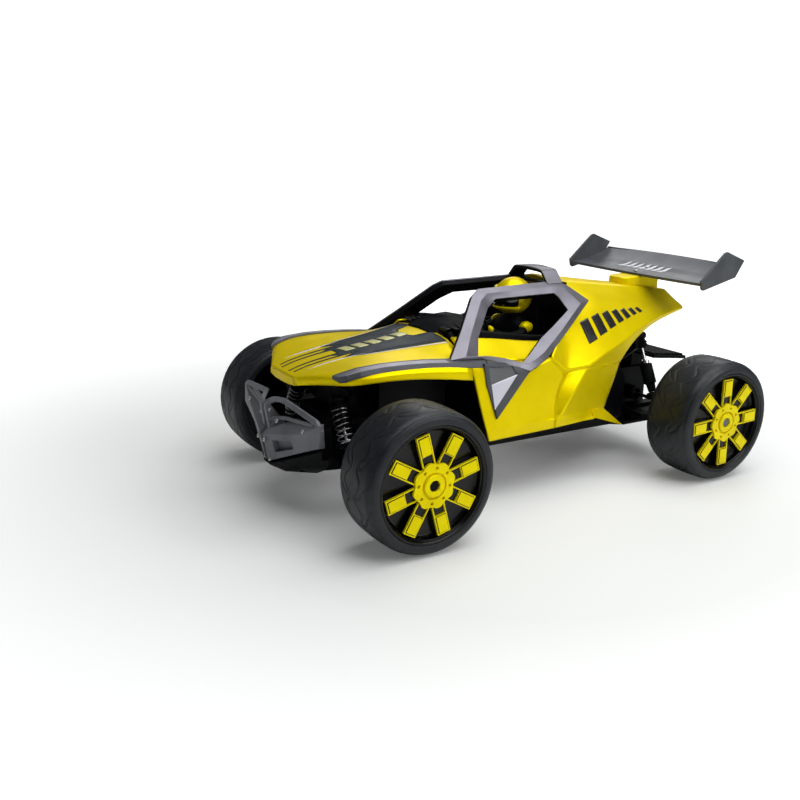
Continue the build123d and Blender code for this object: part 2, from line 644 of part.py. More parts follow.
rear_sections = {
    -62: [(0, 179), (22, 179), (40, 163), (73, 117), (78, 60)],
    -84: [(0, 178), (20, 178), (42, 161), (69, 116), (68, 60)],
    -106: [(0, 175.5), (19, 175), (41, 157), (63, 124), (63, 116)],
    -141: [(0, 171.5), (17, 170.5), (38, 152), (54.5, 131), (54.5, 128.5)],
    -206: [(0, 163), (18, 162.5), (27, 154), (35.5, 146), (35.5, 143.5)],
    -216: [(0, 147), (17, 146.8), (26, 146), (35, 145), (35, 143.5)],
}


def inset(half, wall, drop):
    """Half section moved inwards by the wall, with its lower lip taken down by drop."""
    moved = [(0, half[0][1] - wall)]
    for before, here, after in zip(half, half[1:], half[2:]):
        run_y, run_z = after[0] - before[0], after[1] - before[1]
        length = (run_y ** 2 + run_z ** 2) ** 0.5
        moved.append((here[0] + wall * run_z / length, here[1] - wall * run_y / length))
    lip = half[-1]
    moved.append((moved[-1][0] + (lip[0] - half[-2][0]), lip[1] - drop))
    return moved


def loft_sections(sections):
    """Ruled loft through half sections given by their x."""
    faces = []
    for x, half in sections.items():
        with BuildSketch(across(x)) as section:
            Polygon(*both_sides(half), align=None)
        faces.append(section.sketch)
    loft(faces, ruled=True)


def cavity(sections, start, end):
    """Inside of a lofted length: the same sections inset, with its end stations moved."""
    stations = sorted(sections, reverse=True)
    inner = {}
    for x in stations:
        place = start if x == stations[0] else end if x == stations[-1] else x
        inner[place] = inset(sections[x], shell_wall, 6)
    return inner


tail_sections = {x: half for x, half in rear_sections.items() if x > -210}

with BuildPart() as body_volume:
    loft_sections(front_sections)
    loft_sections(middle_sections)
    loft_sections(rear_sections)

with BuildPart() as front_cavity:
    loft_sections(cavity(front_sections, 209.5, 74))
with BuildPart() as middle_cavity:
    loft_sections(cavity(middle_sections, 76, -63))
with BuildPart() as rear_cavity:
    loft_sections(cavity(tail_sections, -64, -203))

pylon_x = (-206.0, -152.0)
with BuildPart() as wing_pylon:
    with BuildSketch(level(158)):
        with Locations(((pylon_x[0] + pylon_x[1]) / 2, 0)):
            RectangleRounded(pylon_x[1] - pylon_x[0], 26, 9)
    extrude(amount=24)
    plate(along(20), [(-120, 174.5), (-170, 175.5), (-176, 177.8), (-198, 179.4), (-210, 182.4),
                      (-210, 200), (-120, 200)], 40, mode=Mode.SUBTRACT)

seam_gap = 0.1
seam_x = -62.0
seam_z = 106.0
with BuildPart() as seam_side:
    block((seam_x - seam_gap, -300), (-100, 100), (seam_z, 220))
with BuildPart() as shell:
    add(body_volume.part)
    add(wing_pylon.part)
    add(front_cavity.part, mode=Mode.SUBTRACT)
    add(middle_cavity.part, mode=Mode.SUBTRACT)
    add(rear_cavity.part, mode=Mode.SUBTRACT)
    plate(along(90), [(80, 111), (73, 111), (50.5, 54), (50.5, 50), (80, 50)], 180,
          mode=Mode.SUBTRACT)
    block((-59, 58), (-46, 46), (110, 200), mode=Mode.SUBTRACT)
    block((-70, -55), (-58, 58), (50, 103), mode=Mode.SUBTRACT)
    for side in (-1, 1):
        plate(along(max(side * 76, side * 73.5)), [(-58, 62), (-84, 65), (-106, 43.5),
                                                   (-66, 59.5)], 2.5)

with BuildPart() as body_shell:
    add(shell.part)
    block((seam_x, -300), (-100, 100), (seam_z - seam_gap, 220), mode=Mode.SUBTRACT)
save(body_shell.part, "body_shell")

with BuildPart() as rear_cowl:
    add(shell.part)
    add(seam_side.part, mode=Mode.INTERSECT)
save(rear_cowl.part, "rear_cowl")

# ---------------------------------------------------------------- roll cage
lean_angle = degrees(acos(1 / (1 + cage_lean ** 2) ** 0.5))
lean_scale = (1 + cage_lean ** 2) ** 0.5


def window_point(x, z):
    """Point of the leaning window plane at x and height z, in the plane's own axes."""
    return (x, (z - cage_foot_z) * lean_scale)


cage_outline = [(92, 128), (45, 174.5), (37, 178), (-41, 180.3), (-58, 179.5), (-82, 162),
                (-8, 121), (16, 114), (40, 120), (62, 124)]
cage_window = [(63, 130), (56, 141), (31, 166), (21.5, 170), (-45, 170.6), (-52, 156),
               (-7, 136), (19, 122), (40, 127)]
hoop_outline = [(0, 190.5), (19, 190.5), (26, 178), (20, 178), (15.5, 186.3), (0, 186.3)]
window_plane = Plane(origin=(0, cage_foot_y, cage_foot_z), x_dir=(1, 0, 0),
                     z_dir=(0, -1, -cage_lean))
with BuildPart() as roll_cage:
    with BuildSketch(window_plane):
        Polygon(*[window_point(x, z) for x, z in cage_outline], align=None)
        Polygon(*[window_point(x, z) for x, z in cage_window], align=None,
                mode=Mode.SUBTRACT)
    extrude(amount=5)
    mirror(about=Plane.XZ)
    plate(across(-58), both_sides(hoop_outline), 17.5)
    plate(across(-61), both_sides([(0, 182.5), (8, 182), (14, 178.5), (14, 174), (0, 174)]), 13)
    block((-57.5, -50), (-30, 30), (174, 178.5))
    add(body_volume.part, mode=Mode.SUBTRACT)
save(roll_cage.part, "roll_cage")

# ---------------------------------------------------------------- cockpit, driver and wing
with BuildPart() as cockpit_tub:
    plate(along(45.5), [(57, 104), (57, 146), (30, 140), (-10, 135.5), (-58.5, 135),
                        (-58.5, 104)], 91)
    block((-56, 36), (-43, 43), (107, 160), mode=Mode.SUBTRACT)
    with BuildSketch(across(36)) as back:
        Polygon(*both_sides([(0, 151.5), (22, 150), (38, 144), (40, 132), (40, 107)]),
                align=None)
    with BuildSketch(across(56.5)) as front:
        Polygon(*both_sides([(0, 150), (22, 148.5), (38, 144.5), (40, 142), (40, 107)]),
                align=None)
    loft([back.sketch, front.sketch], ruled=True)
    plate(along(21), [(-38, 107), (-44, 146), (-52, 146), (-52, 107)], 42)
save(cockpit_tub.part, "cockpit_tub")

with BuildPart() as driver_figure:
    with BuildSketch(level(107)):
        with Locations((-22, 0)):
            Ellipse(13, 18)
    with BuildSketch(level(136)):
        with Locations((-25, 0)):
            Ellipse(12, 22)
    with BuildSketch(level(149)):
        with Locations((-25, 0)):
            Ellipse(6, 8)
    loft()
    with Locations((-24, 0, 164)):
        Sphere(17.5)
    for side in (-1, 1):
        bar_x(-20, 12, side * 18, 130, 4)
    add(cockpit_tub.part, mode=Mode.SUBTRACT)
save(driver_figure.part, "driver_figure")

endplate_outline = [(-173, 181), (-175, 174), (-178, 173), (-220, 184), (-229.5, 199),
                    (-205, 208)]
with BuildPart() as rear_wing:
    with BuildSketch(along(90)):
        with BuildLine():
            ThreePointArc((-174.5, 177.2), (-198, 178.6), (-228, 191.5))
            Line((-228, 191.5), (-228, 193.3))
            ThreePointArc((-228, 193.3), (-198, 181.8), (-174.5, 179.6))
            Line((-174.5, 179.6), (-174.5, 177.2))
        make_face()
    extrude(amount=180)
    for side in (-1, 1):
        plate(along(max(side * 92.5, side * 90)), endplate_outline, 2.5)
    add(rear_cowl.part, mode=Mode.SUBTRACT)
save(rear_wing.part, "rear_wing")

# ---------------------------------------------------------------- screws
with BuildPart() as screws:
    for x, y in underside_screws:
        for side in (-1, 1):
            bar_z(floor_z + 0.2, floor_z + pocket_depth, x, side * y, screw_r)
            bar_z(floor_z + 0.2, floor_z + 0.9, x, side * y, 1.1, mode=Mode.SUBTRACT)
save(screws.part, "screws")
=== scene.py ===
"""Looks of the radio-controlled buggy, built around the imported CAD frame.

Blender works in metres. Shapes are written in millimetres in the same frame (+X forward,
+Y to the car's left, +Z up, origin on the ground) and scaled by MM as meshes are made.
"""

from math import cos, exp, hypot, pi, radians, sin

import bmesh
import bpy
from mathutils import Matrix, Vector
from mathutils.bvhtree import BVHTree
from mathutils.geometry import tessellate_polygon


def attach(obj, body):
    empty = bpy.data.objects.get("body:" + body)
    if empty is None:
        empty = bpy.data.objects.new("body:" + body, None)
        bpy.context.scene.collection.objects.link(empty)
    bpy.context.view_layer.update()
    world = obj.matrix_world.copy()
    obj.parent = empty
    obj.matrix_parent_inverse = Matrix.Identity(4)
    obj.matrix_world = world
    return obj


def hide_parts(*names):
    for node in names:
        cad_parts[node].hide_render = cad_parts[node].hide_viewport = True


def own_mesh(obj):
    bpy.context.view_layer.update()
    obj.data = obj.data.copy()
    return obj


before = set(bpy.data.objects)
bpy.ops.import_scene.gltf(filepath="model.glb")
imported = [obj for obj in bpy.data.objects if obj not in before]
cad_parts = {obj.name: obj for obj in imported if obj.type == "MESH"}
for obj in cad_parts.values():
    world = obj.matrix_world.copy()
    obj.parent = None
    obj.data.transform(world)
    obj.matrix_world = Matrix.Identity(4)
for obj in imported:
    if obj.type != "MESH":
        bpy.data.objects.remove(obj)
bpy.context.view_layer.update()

MM = 0.001
SIDES = (("l", 1), ("r", -1))
CORNERS = {"fl": (156.0, 126.0), "fr": (156.0, -126.0), "rl": (-174.0, 115.0), "rr": (-174.0, -115.0)}
TYRE_R = 57.0
AXLE_Z = TYRE_R
# Turn of each wheel, in degrees, as it stands at rest.
SPOKE_PHASE = {"fl": -15.4, "fr": 8.0, "rl": -2.8, "rr": 20.0}


# ---------------------------------------------------------------- materials
class Shader:
    """A Principled material with short calls for the procedural detail on it."""

    def __init__(self, name, color, rough, metal=0.0, **sockets):
        self.material = bpy.data.materials.new(name)
        self.material.use_nodes = True
        self.tree = self.material.node_tree
        self.bsdf = self.tree.nodes["Principled BSDF"]
        self.bsdf.inputs["Base Color"].default_value = (*color, 1)
        self.bsdf.inputs["Roughness"].default_value = rough
        self.bsdf.inputs["Metallic"].default_value = metal
        for socket, value in sockets.items():
            self.bsdf.inputs[socket.replace("_", " ")].default_value = value
        self.place = self.tree.nodes.new("ShaderNodeTexCoord").outputs["Object"]
        self.normal = None

    def noise(self, per_metre, detail=4.0, stretch=(1, 1, 1)):
        """Noise value at so many features per metre of the row frame."""
        mapping = self.tree.nodes.new("ShaderNodeMapping")
        mapping.inputs["Scale"].default_value = stretch
        noise = self.tree.nodes.new("ShaderNodeTexNoise")
        noise.inputs["Scale"].default_value = per_metre
        noise.inputs["Detail"].default_value = detail
        self.tree.links.new(self.place, mapping.inputs["Vector"])
        self.tree.links.new(mapping.outputs["Vector"], noise.inputs["Vector"])
        return noise.outputs["Fac"]

    def ramp(self, value, low, high, start=0.3, end=0.7):
        """Colours or grey levels from low to high as value goes from start to end."""
        ramp = self.tree.nodes.new("ShaderNodeValToRGB")
        for stop, place, level in zip(ramp.color_ramp.elements, (start, end), (low, high)):
            stop.position = place
            stop.color = (*level, 1) if isinstance(level, tuple) else (level, level, level, 1)
        self.tree.links.new(value, ramp.inputs["Fac"])
        return ramp.outputs["Color"]

    def feed(self, socket, value):
        self.tree.links.new(value, self.bsdf.inputs[socket])
        return self

    def bump(self, value, depth, strength=1.0):
        """Relief of that depth in metres, on top of any bump before it."""
        bump = self.tree.nodes.new("ShaderNodeBump")
        bump.inputs["Distance"].default_value = depth
        bump.inputs["Strength"].default_value = strength
        self.tree.links.new(value, bump.inputs["Height"])
        if self.normal:
            self.tree.links.new(self.normal, bump.inputs["Normal"])
        self.normal = bump.outputs["Normal"]
        self.tree.links.new(self.normal, self.bsdf.inputs["Normal"])
        return self


def paint(name, dark, light, rough, metal, peel=0.15, coat=0.0, tint=(1, 1, 1)):
    """Metallic paint with a little cloudiness and orange peel."""
    shader = Shader(name, light, rough, metal, Coat_Weight=coat, Coat_Roughness=0.06,
                    Specular_Tint=(*tint, 1))
    shader.feed("Base Color", shader.ramp(shader.noise(70, 2), dark, light, 0.3, 0.7))
    shader.feed("Roughness", shader.ramp(shader.noise(60), rough * 0.85, rough * 1.2))
    shader.bump(shader.noise(90, 1), 0.00006, peel)
    return shader.material


def plastic(name, color, rough, grain=0.4, coat=0.0, spread=0.25, shine=0.5):
    """Moulded plastic: fine grain, uneven gloss and slight dusting of colour."""
    shader = Shader(name, color, rough, Coat_Weight=coat, Coat_Roughness=0.12, Specular_IOR_Level=shine)
    dark = tuple(c * (1 - spread) for c in color)
    light = tuple(min(1.0, c * (1 + spread)) for c in color)
    shader.feed("Base Color", shader.ramp(shader.noise(45, 6), dark, light))
    shader.feed("Roughness", shader.ramp(shader.noise(90, 5), rough * 0.85, min(1.0, rough * 1.2)))
    shader.bump(shader.noise(1800, 3), 0.00005, grain)
    return shader.material


def metal(name, color, rough, stretch=(1, 1, 1)):
    """Bare metal with fine drawn or turned marks along the axis that is stretched least."""
    shader = Shader(name, color, rough, 1.0)
    marks = shader.noise(900, 4, stretch)
    shader.feed("Roughness", shader.ramp(marks, rough * 0.7, rough * 1.4))
    shader.feed("Base Color", shader.ramp(shader.noise(120), tuple(c * 0.8 for c in color), color))
    shader.bump(marks, 0.00002, 0.4)
    return shader.material


def rubber():
    """Tyre rubber: fine skin, mould bloom and slightly greyer patches."""
    shader = Shader("tyre_rubber", (0.010, 0.012, 0.018), 0.45, Specular_IOR_Level=0.4)
    shader.feed("Base Color", shader.ramp(shader.noise(38, 6), (0.007, 0.009, 0.012), (0.014, 0.017, 0.022)))
    shader.feed("Roughness", shader.ramp(shader.noise(70, 6), 0.34, 0.52))
    shader.bump(shader.noise(1300, 4), 0.00006, 0.3)
    return shader.material


YELLOW = paint("body_yellow_paint", (0.91, 0.71, 0.0), (0.95, 0.75, 0.0003), 0.34, 0.42, 0.125,
               tint=(1.0, 0.82, 0.03))
YELLOW_WHEEL = paint("wheel_yellow_paint", (0.86, 0.71, 0.0), (0.97, 0.82, 0.001), 0.36, 0.3,
                     0.125, tint=(1.0, 0.85, 0.05))
SILVER = paint("cage_silver_paint", (0.195, 0.19, 0.22), (0.22, 0.215, 0.25), 0.36, 0.75)
BRIGHT = paint("silver_bright_paint", (0.70, 0.69, 0.78), (0.76, 0.75, 0.84), 0.34, 0.7)
# Lighter silver on the fender strip's upper outer facet: painted highlight.
STRIP_HIGHLIGHT = paint("strip_highlight_silver", (0.35, 0.34, 0.39), (0.39, 0.38, 0.435), 0.34, 0.7)
SLATE = plastic("graphic_slate", (0.018, 0.027, 0.032), 0.38, 0.15, shine=0.2)
TRIM = plastic("trim_grey", (0.075, 0.08, 0.092), 0.38, 0.2, shine=0.35)
CHAMPAGNE = paint("graphic_champagne", (0.60, 0.58, 0.22), (0.78, 0.76, 0.36), 0.3, 0.3, coat=0.6)
INK = plastic("graphic_black", (0.010, 0.010, 0.010), 0.28, 0.15, coat=0.5)
WHITE_INK = plastic("graphic_white", (0.72, 0.74, 0.78), 0.35, 0.15, coat=0.3)
BLACK = plastic("black_plastic", (0.003, 0.0034, 0.0045), 0.46, 0.4, shine=0.09)
BLACK_GLOSS = plastic("black_gloss", (0.0015, 0.0015, 0.002), 0.24, 0.12, coat=0.1, shine=0.25)
BUMPER = plastic("bumper_grey", (0.150, 0.155, 0.172), 0.38, 0.45, shine=0.4)
WING = plastic("wing_grey", (0.075, 0.082, 0.092), 0.36, 0.35, shine=0.4)
INSERT = plastic("insert_grey", (0.14, 0.145, 0.15), 0.4, 0.3, spread=0.1)
RUBBER = rubber()
STEEL = metal("bright_steel", (0.62, 0.62, 0.64), 0.24)
DARK_STEEL = metal("dark_steel", (0.20, 0.20, 0.21), 0.34)
CAN = metal("motor_can", (0.45, 0.45, 0.47), 0.3, (1, 0.1, 1))
BRASS = metal("brass", (0.70, 0.50, 0.20), 0.28)
WRAP = plastic("battery_wrap", (0.02, 0.07, 0.28), 0.3, 0.2, coat=0.4)
VISOR = plastic("visor_smoke", (0.006, 0.006, 0.008), 0.1, 0.05, coat=1.0)

# Slot of each material, for pieces that name no other.
SLOTS = {"body_yellow": (YELLOW, CHAMPAGNE), "spoke_yellow": (YELLOW_WHEEL,),
         "cage_silver": (SILVER, BRIGHT, STRIP_HIGHLIGHT), "bumper_grey": (TRIM, BUMPER),
         "black_plastic": (BLACK, BLACK_GLOSS, SLATE, INK, INSERT), "wing_grey": (WING, WHITE_INK),
         "tyre_rubber": (RUBBER,), "steel": (STEEL,), "driver_suit": (VISOR,)}
SLOT_OF = {material.name: slot for slot, materials in SLOTS.items() for material in materials}


# ---------------------------------------------------------------- mesh helpers
def new_piece(name, points, faces, material, nodes=(), body="chassis", slot=None):
    """Smooth-shaded mesh from points in millimetres, riding on a body, in place of those nodes."""
    mesh = bpy.data.meshes.new(name)
    mesh.from_pydata([Vector(p) * MM for p in points], [], faces)
    obj = bpy.data.objects.new(name, mesh)
    bpy.context.collection.objects.link(obj)
    build = bmesh.new()
    build.from_mesh(mesh)
    bmesh.ops.remove_doubles(build, verts=build.verts, dist=1e-6)
    bmesh.ops.recalc_face_normals(build, faces=build.faces)
    build.to_mesh(mesh)
    build.free()
    for face in mesh.polygons:
        face.use_smooth = True
    mesh.materials.append(material)
    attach(obj, body)
    slot or SLOT_OF[material.name]
    if nodes:
        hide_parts(*nodes)
    return obj


def bevel(obj, width, segments=3, angle=28):
    """Rounds every edge sharper than angle, and keeps the flats flat."""
    step = obj.modifiers.new("bevel", "BEVEL")
    step.width = width * MM
    step.segments = segments
    step.limit_method = "ANGLE"
    step.angle_limit = radians(angle)
    step.harden_normals = True
    return obj


def mirror_y(obj):
    step = obj.modifiers.new("mirror", "MIRROR")
    step.use_axis = (False, True, False)
    step.merge_threshold = 1e-5
    return obj


def solidify(obj, thickness, offset=-1.0):
    step = obj.modifiers.new("wall", "SOLIDIFY")
    step.thickness = thickness * MM
    step.offset = offset
    return obj


def subdivide(obj, levels):
    step = obj.modifiers.new("smooth", "SUBSURF")
    step.levels = step.render_levels = levels
    return obj


class Build:
    """Points and faces of a piece as they are gathered from simpler forms."""

    def __init__(self):
        self.points, self.faces = [], []

    def add(self, points, faces):
        start = len(self.points)
        self.points += [tuple(p) for p in points]
        self.faces += [[start + i for i in face] for face in faces]
        return self

    def loft(self, rings, closed=True, caps=True):
        """Skin over rings with the same number of points."""
        count = len(rings[0])
        points = [p for ring in rings for p in ring]
        faces = []
        for r in range(len(rings) - 1):
            for i in range(count if closed else count - 1):
                j = (i + 1) % count
                faces.append([r * count + i, r * count + j, (r + 1) * count + j, (r + 1) * count + i])
        if caps:
            faces += [list(range(count))[::-1], [(len(rings) - 1) * count + i for i in range(count)]]
        return self.add(points, faces)

    def lathe(self, profile, centre, axis, across, segments=96):
        """Closed profile of (along axis, radius), turned about the axis through centre."""
        centre, axis, across = Vector(centre), Vector(axis).normalized(), Vector(across).normalized()
        third = axis.cross(across)
        rings = []
        for step in range(segments):
            turn = 2 * pi * step / segments
            out = across * cos(turn) + third * sin(turn)
            rings.append([centre + axis * w + out * r for w, r in profile])
        rings.append(rings[0])
        return self.loft(rings, closed=True, caps=False)

    def prism(self, outline, holes, place, low, high):
        """Plate between two heights; place(u, v, height) gives a point, holes are outlines."""
        loops = [outline, *holes]
        flat = [Vector((u, v, 0)) for loop in loops for u, v in loop]
        triangles = tessellate_polygon([[Vector((u, v, 0)) for u, v in loop] for loop in loops])
        count = len(flat)
        points = [place(p.x, p.y, low) for p in flat] + [place(p.x, p.y, high) for p in flat]
        faces = [list(t)[::-1] for t in triangles] + [[count + i for i in t] for t in triangles]
        start = 0
        for loop in loops:
            for i in range(len(loop)):
                a, b = start + i, start + (i + 1) % len(loop)
                faces.append([a, b, count + b, count + a])
            start += len(loop)
        return self.add(points, faces)

    def box(self, low, high):
        (x0, y0, z0), (x1, y1, z1) = low, high
        ring = [(x0, y0), (x1, y0), (x1, y1), (x0, y1)]
        return self.loft([[(x, y, z0) for x, y in ring], [(x, y, z1) for x, y in ring]])

    def sweep(self, path, section, closed=False, up=(0, 0, 1)):
        """Section of (side, up) offsets carried along a path."""
        path = [Vector(p) for p in path]
        rings = []
        for i, here in enumerate(path):
            before = path[i - 1] if i or closed else here
            after = path[(i + 1) % len(path)] if closed or i + 1 < len(path) else here
            tangent = (after - before).normalized()
            side = tangent.cross(Vector(up)).normalized()
            rise = side.cross(tangent)
            rings.append([here + side * a + rise * b for a, b in section])
        if closed:
            rings.append(rings[0])
        return self.loft(rings, caps=not closed)

    def piece(self, name, material, nodes=(), body="chassis", slot=None):
        return new_piece(name, self.points, self.faces, material, nodes, body, slot)


def mirrored(rings, name, material, width, segments=3, angle=28, caps=True, nodes=()):
    """Loft of the left half with rounded edges, and its mirror image."""
    half = Build().loft(rings, caps=caps).piece(name, material, nodes)
    return bevel(mirror_y(half), width, segments, angle)


def moved(points, dx=0, dy=0, dz=0):
    return [(x + dx, y + dy, z + dz) for x, y, z in points]


def circle_of(radius, count):
    """(cosine, sine) pairs round a circle, times the radius."""
    return [(radius * cos(2 * pi * k / count), radius * sin(2 * pi * k / count)) for k in range(count)]


def circle(radius, count=16, centre=(0, 0)):
    return [(centre[0] + x, centre[1] + y) for x, y in circle_of(radius, count)]


def rounded_path(points, radius, steps=5):
    """Polyline with its corners turned into short curves."""
    points = [Vector(p) for p in points]
    path = [points[0]]
    for before, corner, after in zip(points, points[1:], points[2:]):
        reach = min(radius, (corner - before).length * 0.45, (after - corner).length * 0.45)
        start = corner + (before - corner).normalized() * reach
        end = corner + (after - corner).normalized() * reach
        for step in range(steps + 1):
            t = step / steps
            path.append(start * (1 - t) ** 2 + corner * 2 * t * (1 - t) + end * t ** 2)
    return path + [points[-1]]


# ---------------------------------------------------------------- wheels
WAVES, GROOVE_DEPTH = 15, 0.85


def groove(w, turn):
    """Share of the groove's depth at that place: a wavy line, and a sweep from it to the shoulder."""
    reach = abs(w)
    phase = WAVES * turn / (2 * pi)
    wave_line = 7.5 + 3.2 * sin(2 * pi * phase)
    depth = exp(-((reach - wave_line) / 0.75) ** 2)
    if reach > 7:
        near = (phase - 0.75 * ((reach - 7) / 15) ** 1.6 + 0.25) % 1.0
        near = min(near, 1 - near) * 2 * pi * 56 / WAVES
        depth = max(depth, exp(-(near / 0.8) ** 2))
    return min(1.0, depth)


def tread_radius(w, turn):
    """Crowned tread with rounded shoulders and the grooves cut into it."""
    crown = TYRE_R - 0.8 * (w / 19) ** 2 - 1.9 * max(0.0, (abs(w) - 17) / 5) ** 2
    return crown - GROOVE_DEPTH * groove(w, turn)


def make_tyre(corner):
    """Low-profile slick-style tyre with swept wave grooves moulded into the tread."""
    axle_x, wheel_y = CORNERS[corner]
    out = 1 if wheel_y > 0 else -1
    turns, across, tread_half = 320, 44, 22.0
    side = [(25.0, 47.1), (25.0, 47.6), (24.7, 48.0), (24.9, 48.5), (25.0, 49.8), (24.7, 50.2),
            (24.8, 50.6), (24.2, 52.0), (23.4, 53.3), (22.6, 54.3)]
    tread = [(tread_half * (1 - 2 * i / across), None) for i in range(across + 1)]
    profile = side + tread + [(-w, r) for w, r in reversed(side)]
    profile += [(-22.5, 46.9), (-22.5, 44.2), (-17, 44.2), (-17, 52.5), (17, 52.5), (17, 44.2),
                (22.5, 44.2), (22.5, 46.9)]
    rings = []
    for step in range(turns):
        turn = 2 * pi * step / turns
        ring = [(w, tread_radius(w, turn) if r is None else r) for w, r in profile]
        rings.append([(axle_x + r * cos(turn), wheel_y + out * w, AXLE_Z + r * sin(turn)) for w, r in ring])
    Build().loft([*rings, rings[0]], caps=False).piece(
        f"tyre_skin_{corner}", RUBBER, [f"tyre_{corner}"], wheel_body(corner))


def wheel_body(corner):
    return {"f": "front_wheel_", "r": "rear_wheel_"}[corner[0]] + corner[1]


def on_wheel(corner, turn):
    """Placer on the wheel's outer face: u outwards along a spoke, v across it, and the height."""
    axle_x, wheel_y = CORNERS[corner]
    out = 1 if wheel_y > 0 else -1

    def place(u, v, height):
        x = u * cos(turn) - v * sin(turn)
        z = u * sin(turn) + v * cos(turn)
        return (axle_x + out * x, wheel_y + out * height, AXLE_Z + z)
    return place


def bar(start, end, half, v=0.0):
    """Rectangle along u, with its middle at v."""
    return [(start, v - half), (end, v - half), (end, v + half), (start, v + half)]


def add_spokes(corner, rim, yellow, ink):
    """Eight raised spoke plates with dark outlines, ribs behind them, and the scalloped hub."""
    phase = radians(SPOKE_PHASE[corner])
    for k in range(8):
        place = on_wheel(corner, phase + k * pi / 4)
        rim.prism(bar(17, 41.6, 5.2), [], place, 15.0, 20.8)
        yellow.prism(bar(25.0, 41.3, 5.7), [], place, 20.6, 22.6)
        ink.prism(bar(25.6, 40.3, 4.7), [], place, 22.0, 22.75)
        yellow.prism(bar(26.0, 39.6, 4.1), [], place, 22.2, 23.3)
        for v in (-5.2, 5.2):
            yellow.prism(bar(16.5, 25.4, 0.5, v), [], place, 20.6, 22.4)
        ink.prism(bar(17.5, 24.6, 4.4), [], place, 20.4, 20.95)
    hub = []
    for i in range(160):
        t = 2 * pi * i / 160
        r = 17.6 + 0.9 * cos(8 * (t - phase))
        hub.append((r * cos(t), r * sin(t)))
    between = [phase + (k + 0.5) * pi / 4 for k in range(8)]
    dimples = [circle(1.35, 14, (13.9 * cos(t), 13.9 * sin(t))) for t in between]
    yellow.prism(hub, [*dimples, circle(10.6, 48)], on_wheel(corner, 0), 21.4, 23.5)
    yellow.prism(circle(17.0, 64), [circle(4.4, 32)], on_wheel(corner, 0), 20.7, 21.6)


def make_rim(corner):
    """Deep gloss-black dish with ribs behind the spokes, and the bright-edged yellow insert."""
    axle_x, wheel_y = CORNERS[corner]
    centre, axis = (axle_x, wheel_y, AXLE_Z), (0, 1 if wheel_y > 0 else -1, 0)
    body = wheel_body(corner)
    bore = 3.1 if corner[0] == "f" else 3.0
    dish = [(-24.4, 46.8), (-22.6, 46.8), (-22.6, 44.1), (22.6, 44.1), (22.6, 46.8), (24.3, 46.8),
            (24.5, 46.2), (24.4, 44.9), (23.6, 44.2), (22.4, 43.9), (21.6, 43.0), (18.0, 42.4),
            (16.6, 41.0), (16.2, 38), (16.6, 20), (18, 17), (20.6, 16), (20.6, bore), (-8, bore), (-8, 8),
            (11, 8), (14, 12), (14, 38), (12, 41), (-24.4, 41)]
    rim = Build().lathe(dish, centre, axis, (1, 0, 0), 128)
    yellow, ink = Build(), Build()
    add_spokes(corner, rim, yellow, ink)
    boss = [(21.4, 4.4), (24.0, 4.4), (24.4, 4.9), (24.4, 8.3), (23.9, 8.9), (21.4, 8.9)]
    yellow.lathe(boss, centre, axis, (1, 0, 0), 64)
    bevel(rim.piece(f"rim_dish_{corner}", BLACK_GLOSS, [f"rim_{corner}"], body, "rim_black"), 0.35, 2)
    bevel(yellow.piece(f"spoke_insert_{corner}", YELLOW_WHEEL, [f"spokes_{corner}"], body), 0.22, 2)
    bevel(ink.piece(f"spoke_ink_{corner}", BLACK_GLOSS, (), body, "rim_black"), 0.1, 1)


for corner in CORNERS:
    make_tyre(corner)
    make_rim(corner)


# ---------------------------------------------------------------- body shell
# Corners shared by the door, the scoop behind it and the rear quarter.
DOOR_TOP, SEAM_FRONT, SEAM_MID, SEAM_REAR = (
    (-11.5, 76, 121.5), (-31.5, 76.2, 105.8), (-53, 77.4, 108.4), (-104, 66, 105.2))
CORNER_POINTS = [DOOR_TOP, SEAM_FRONT, SEAM_MID, SEAM_REAR]
SHELL_WALL = 1.6

# Long lines of the left half, front to back or top to bottom; neighbours are skinned together.
HOOD = {
    "centre": [(212, 0, 116.8), (203, 0, 120), (194, 0, 122.8), (176, 0, 126.3), (157, 0, 129.4),
               (136, 0, 132.2), (116, 0, 135), (96, 0, 138.6), (75, 0, 142.6)],
    "ridge": [(212, 14, 116.6), (203, 17, 119.7), (194, 20, 122.5), (176, 23.5, 126), (157, 26.5, 129.1),
              (136, 29.5, 131.6), (116, 33, 133.9), (96, 38, 137.4), (75, 43.5, 141.4)],
    "strip": [(211.6, 21, 116.2), (203, 38, 119.8), (194, 57, 123.8), (176, 61.5, 129), (157, 62.5, 130.4),
              (136, 63, 130.4), (116, 63.2, 130), (96, 63.5, 128.4), (75, 63.8, 127)],
    "fender": [(211.4, 22, 113.6), (202, 41, 117.4), (192, 64, 123), (179, 73.5, 127.5), (157, 74.5, 129.2),
               (136, 75, 129.2), (116, 75.4, 128.4), (96, 75.8, 127), (75, 76.2, 125)],
    "flare": [(211.2, 22.4, 111.5), (201, 42.5, 115.6), (189, 70, 120.6), (177, 76.2, 123), (157, 77.2, 124),
              (136, 77.8, 124), (116, 78.3, 122.6), (96, 78.6, 120.6), (75, 79, 118.4)],
    "lip": [(210.8, 22, 109.2), (200.2, 42, 113.6), (187.5, 71, 117.6), (175.5, 76.6, 118.8),
            (157, 77.4, 119.6), (136, 77.8, 119), (116, 78, 117.2), (96, 78.4, 114.8), (74, 79, 111.6)],
}


def shade_lined(obj, levels):
    """Smooths a sheet and gives it a wall with a black inside, which is painted shade: the shell itself is
    yellow on both sides.
    """
    subdivide(obj, levels)
    wall = solidify(obj, SHELL_WALL).modifiers["wall"]
    obj.data.materials.append(BLACK)
    # Inner face in black: painted shade under the shell, not the shell's own colour.
    wall.material_offset = 1
    return obj


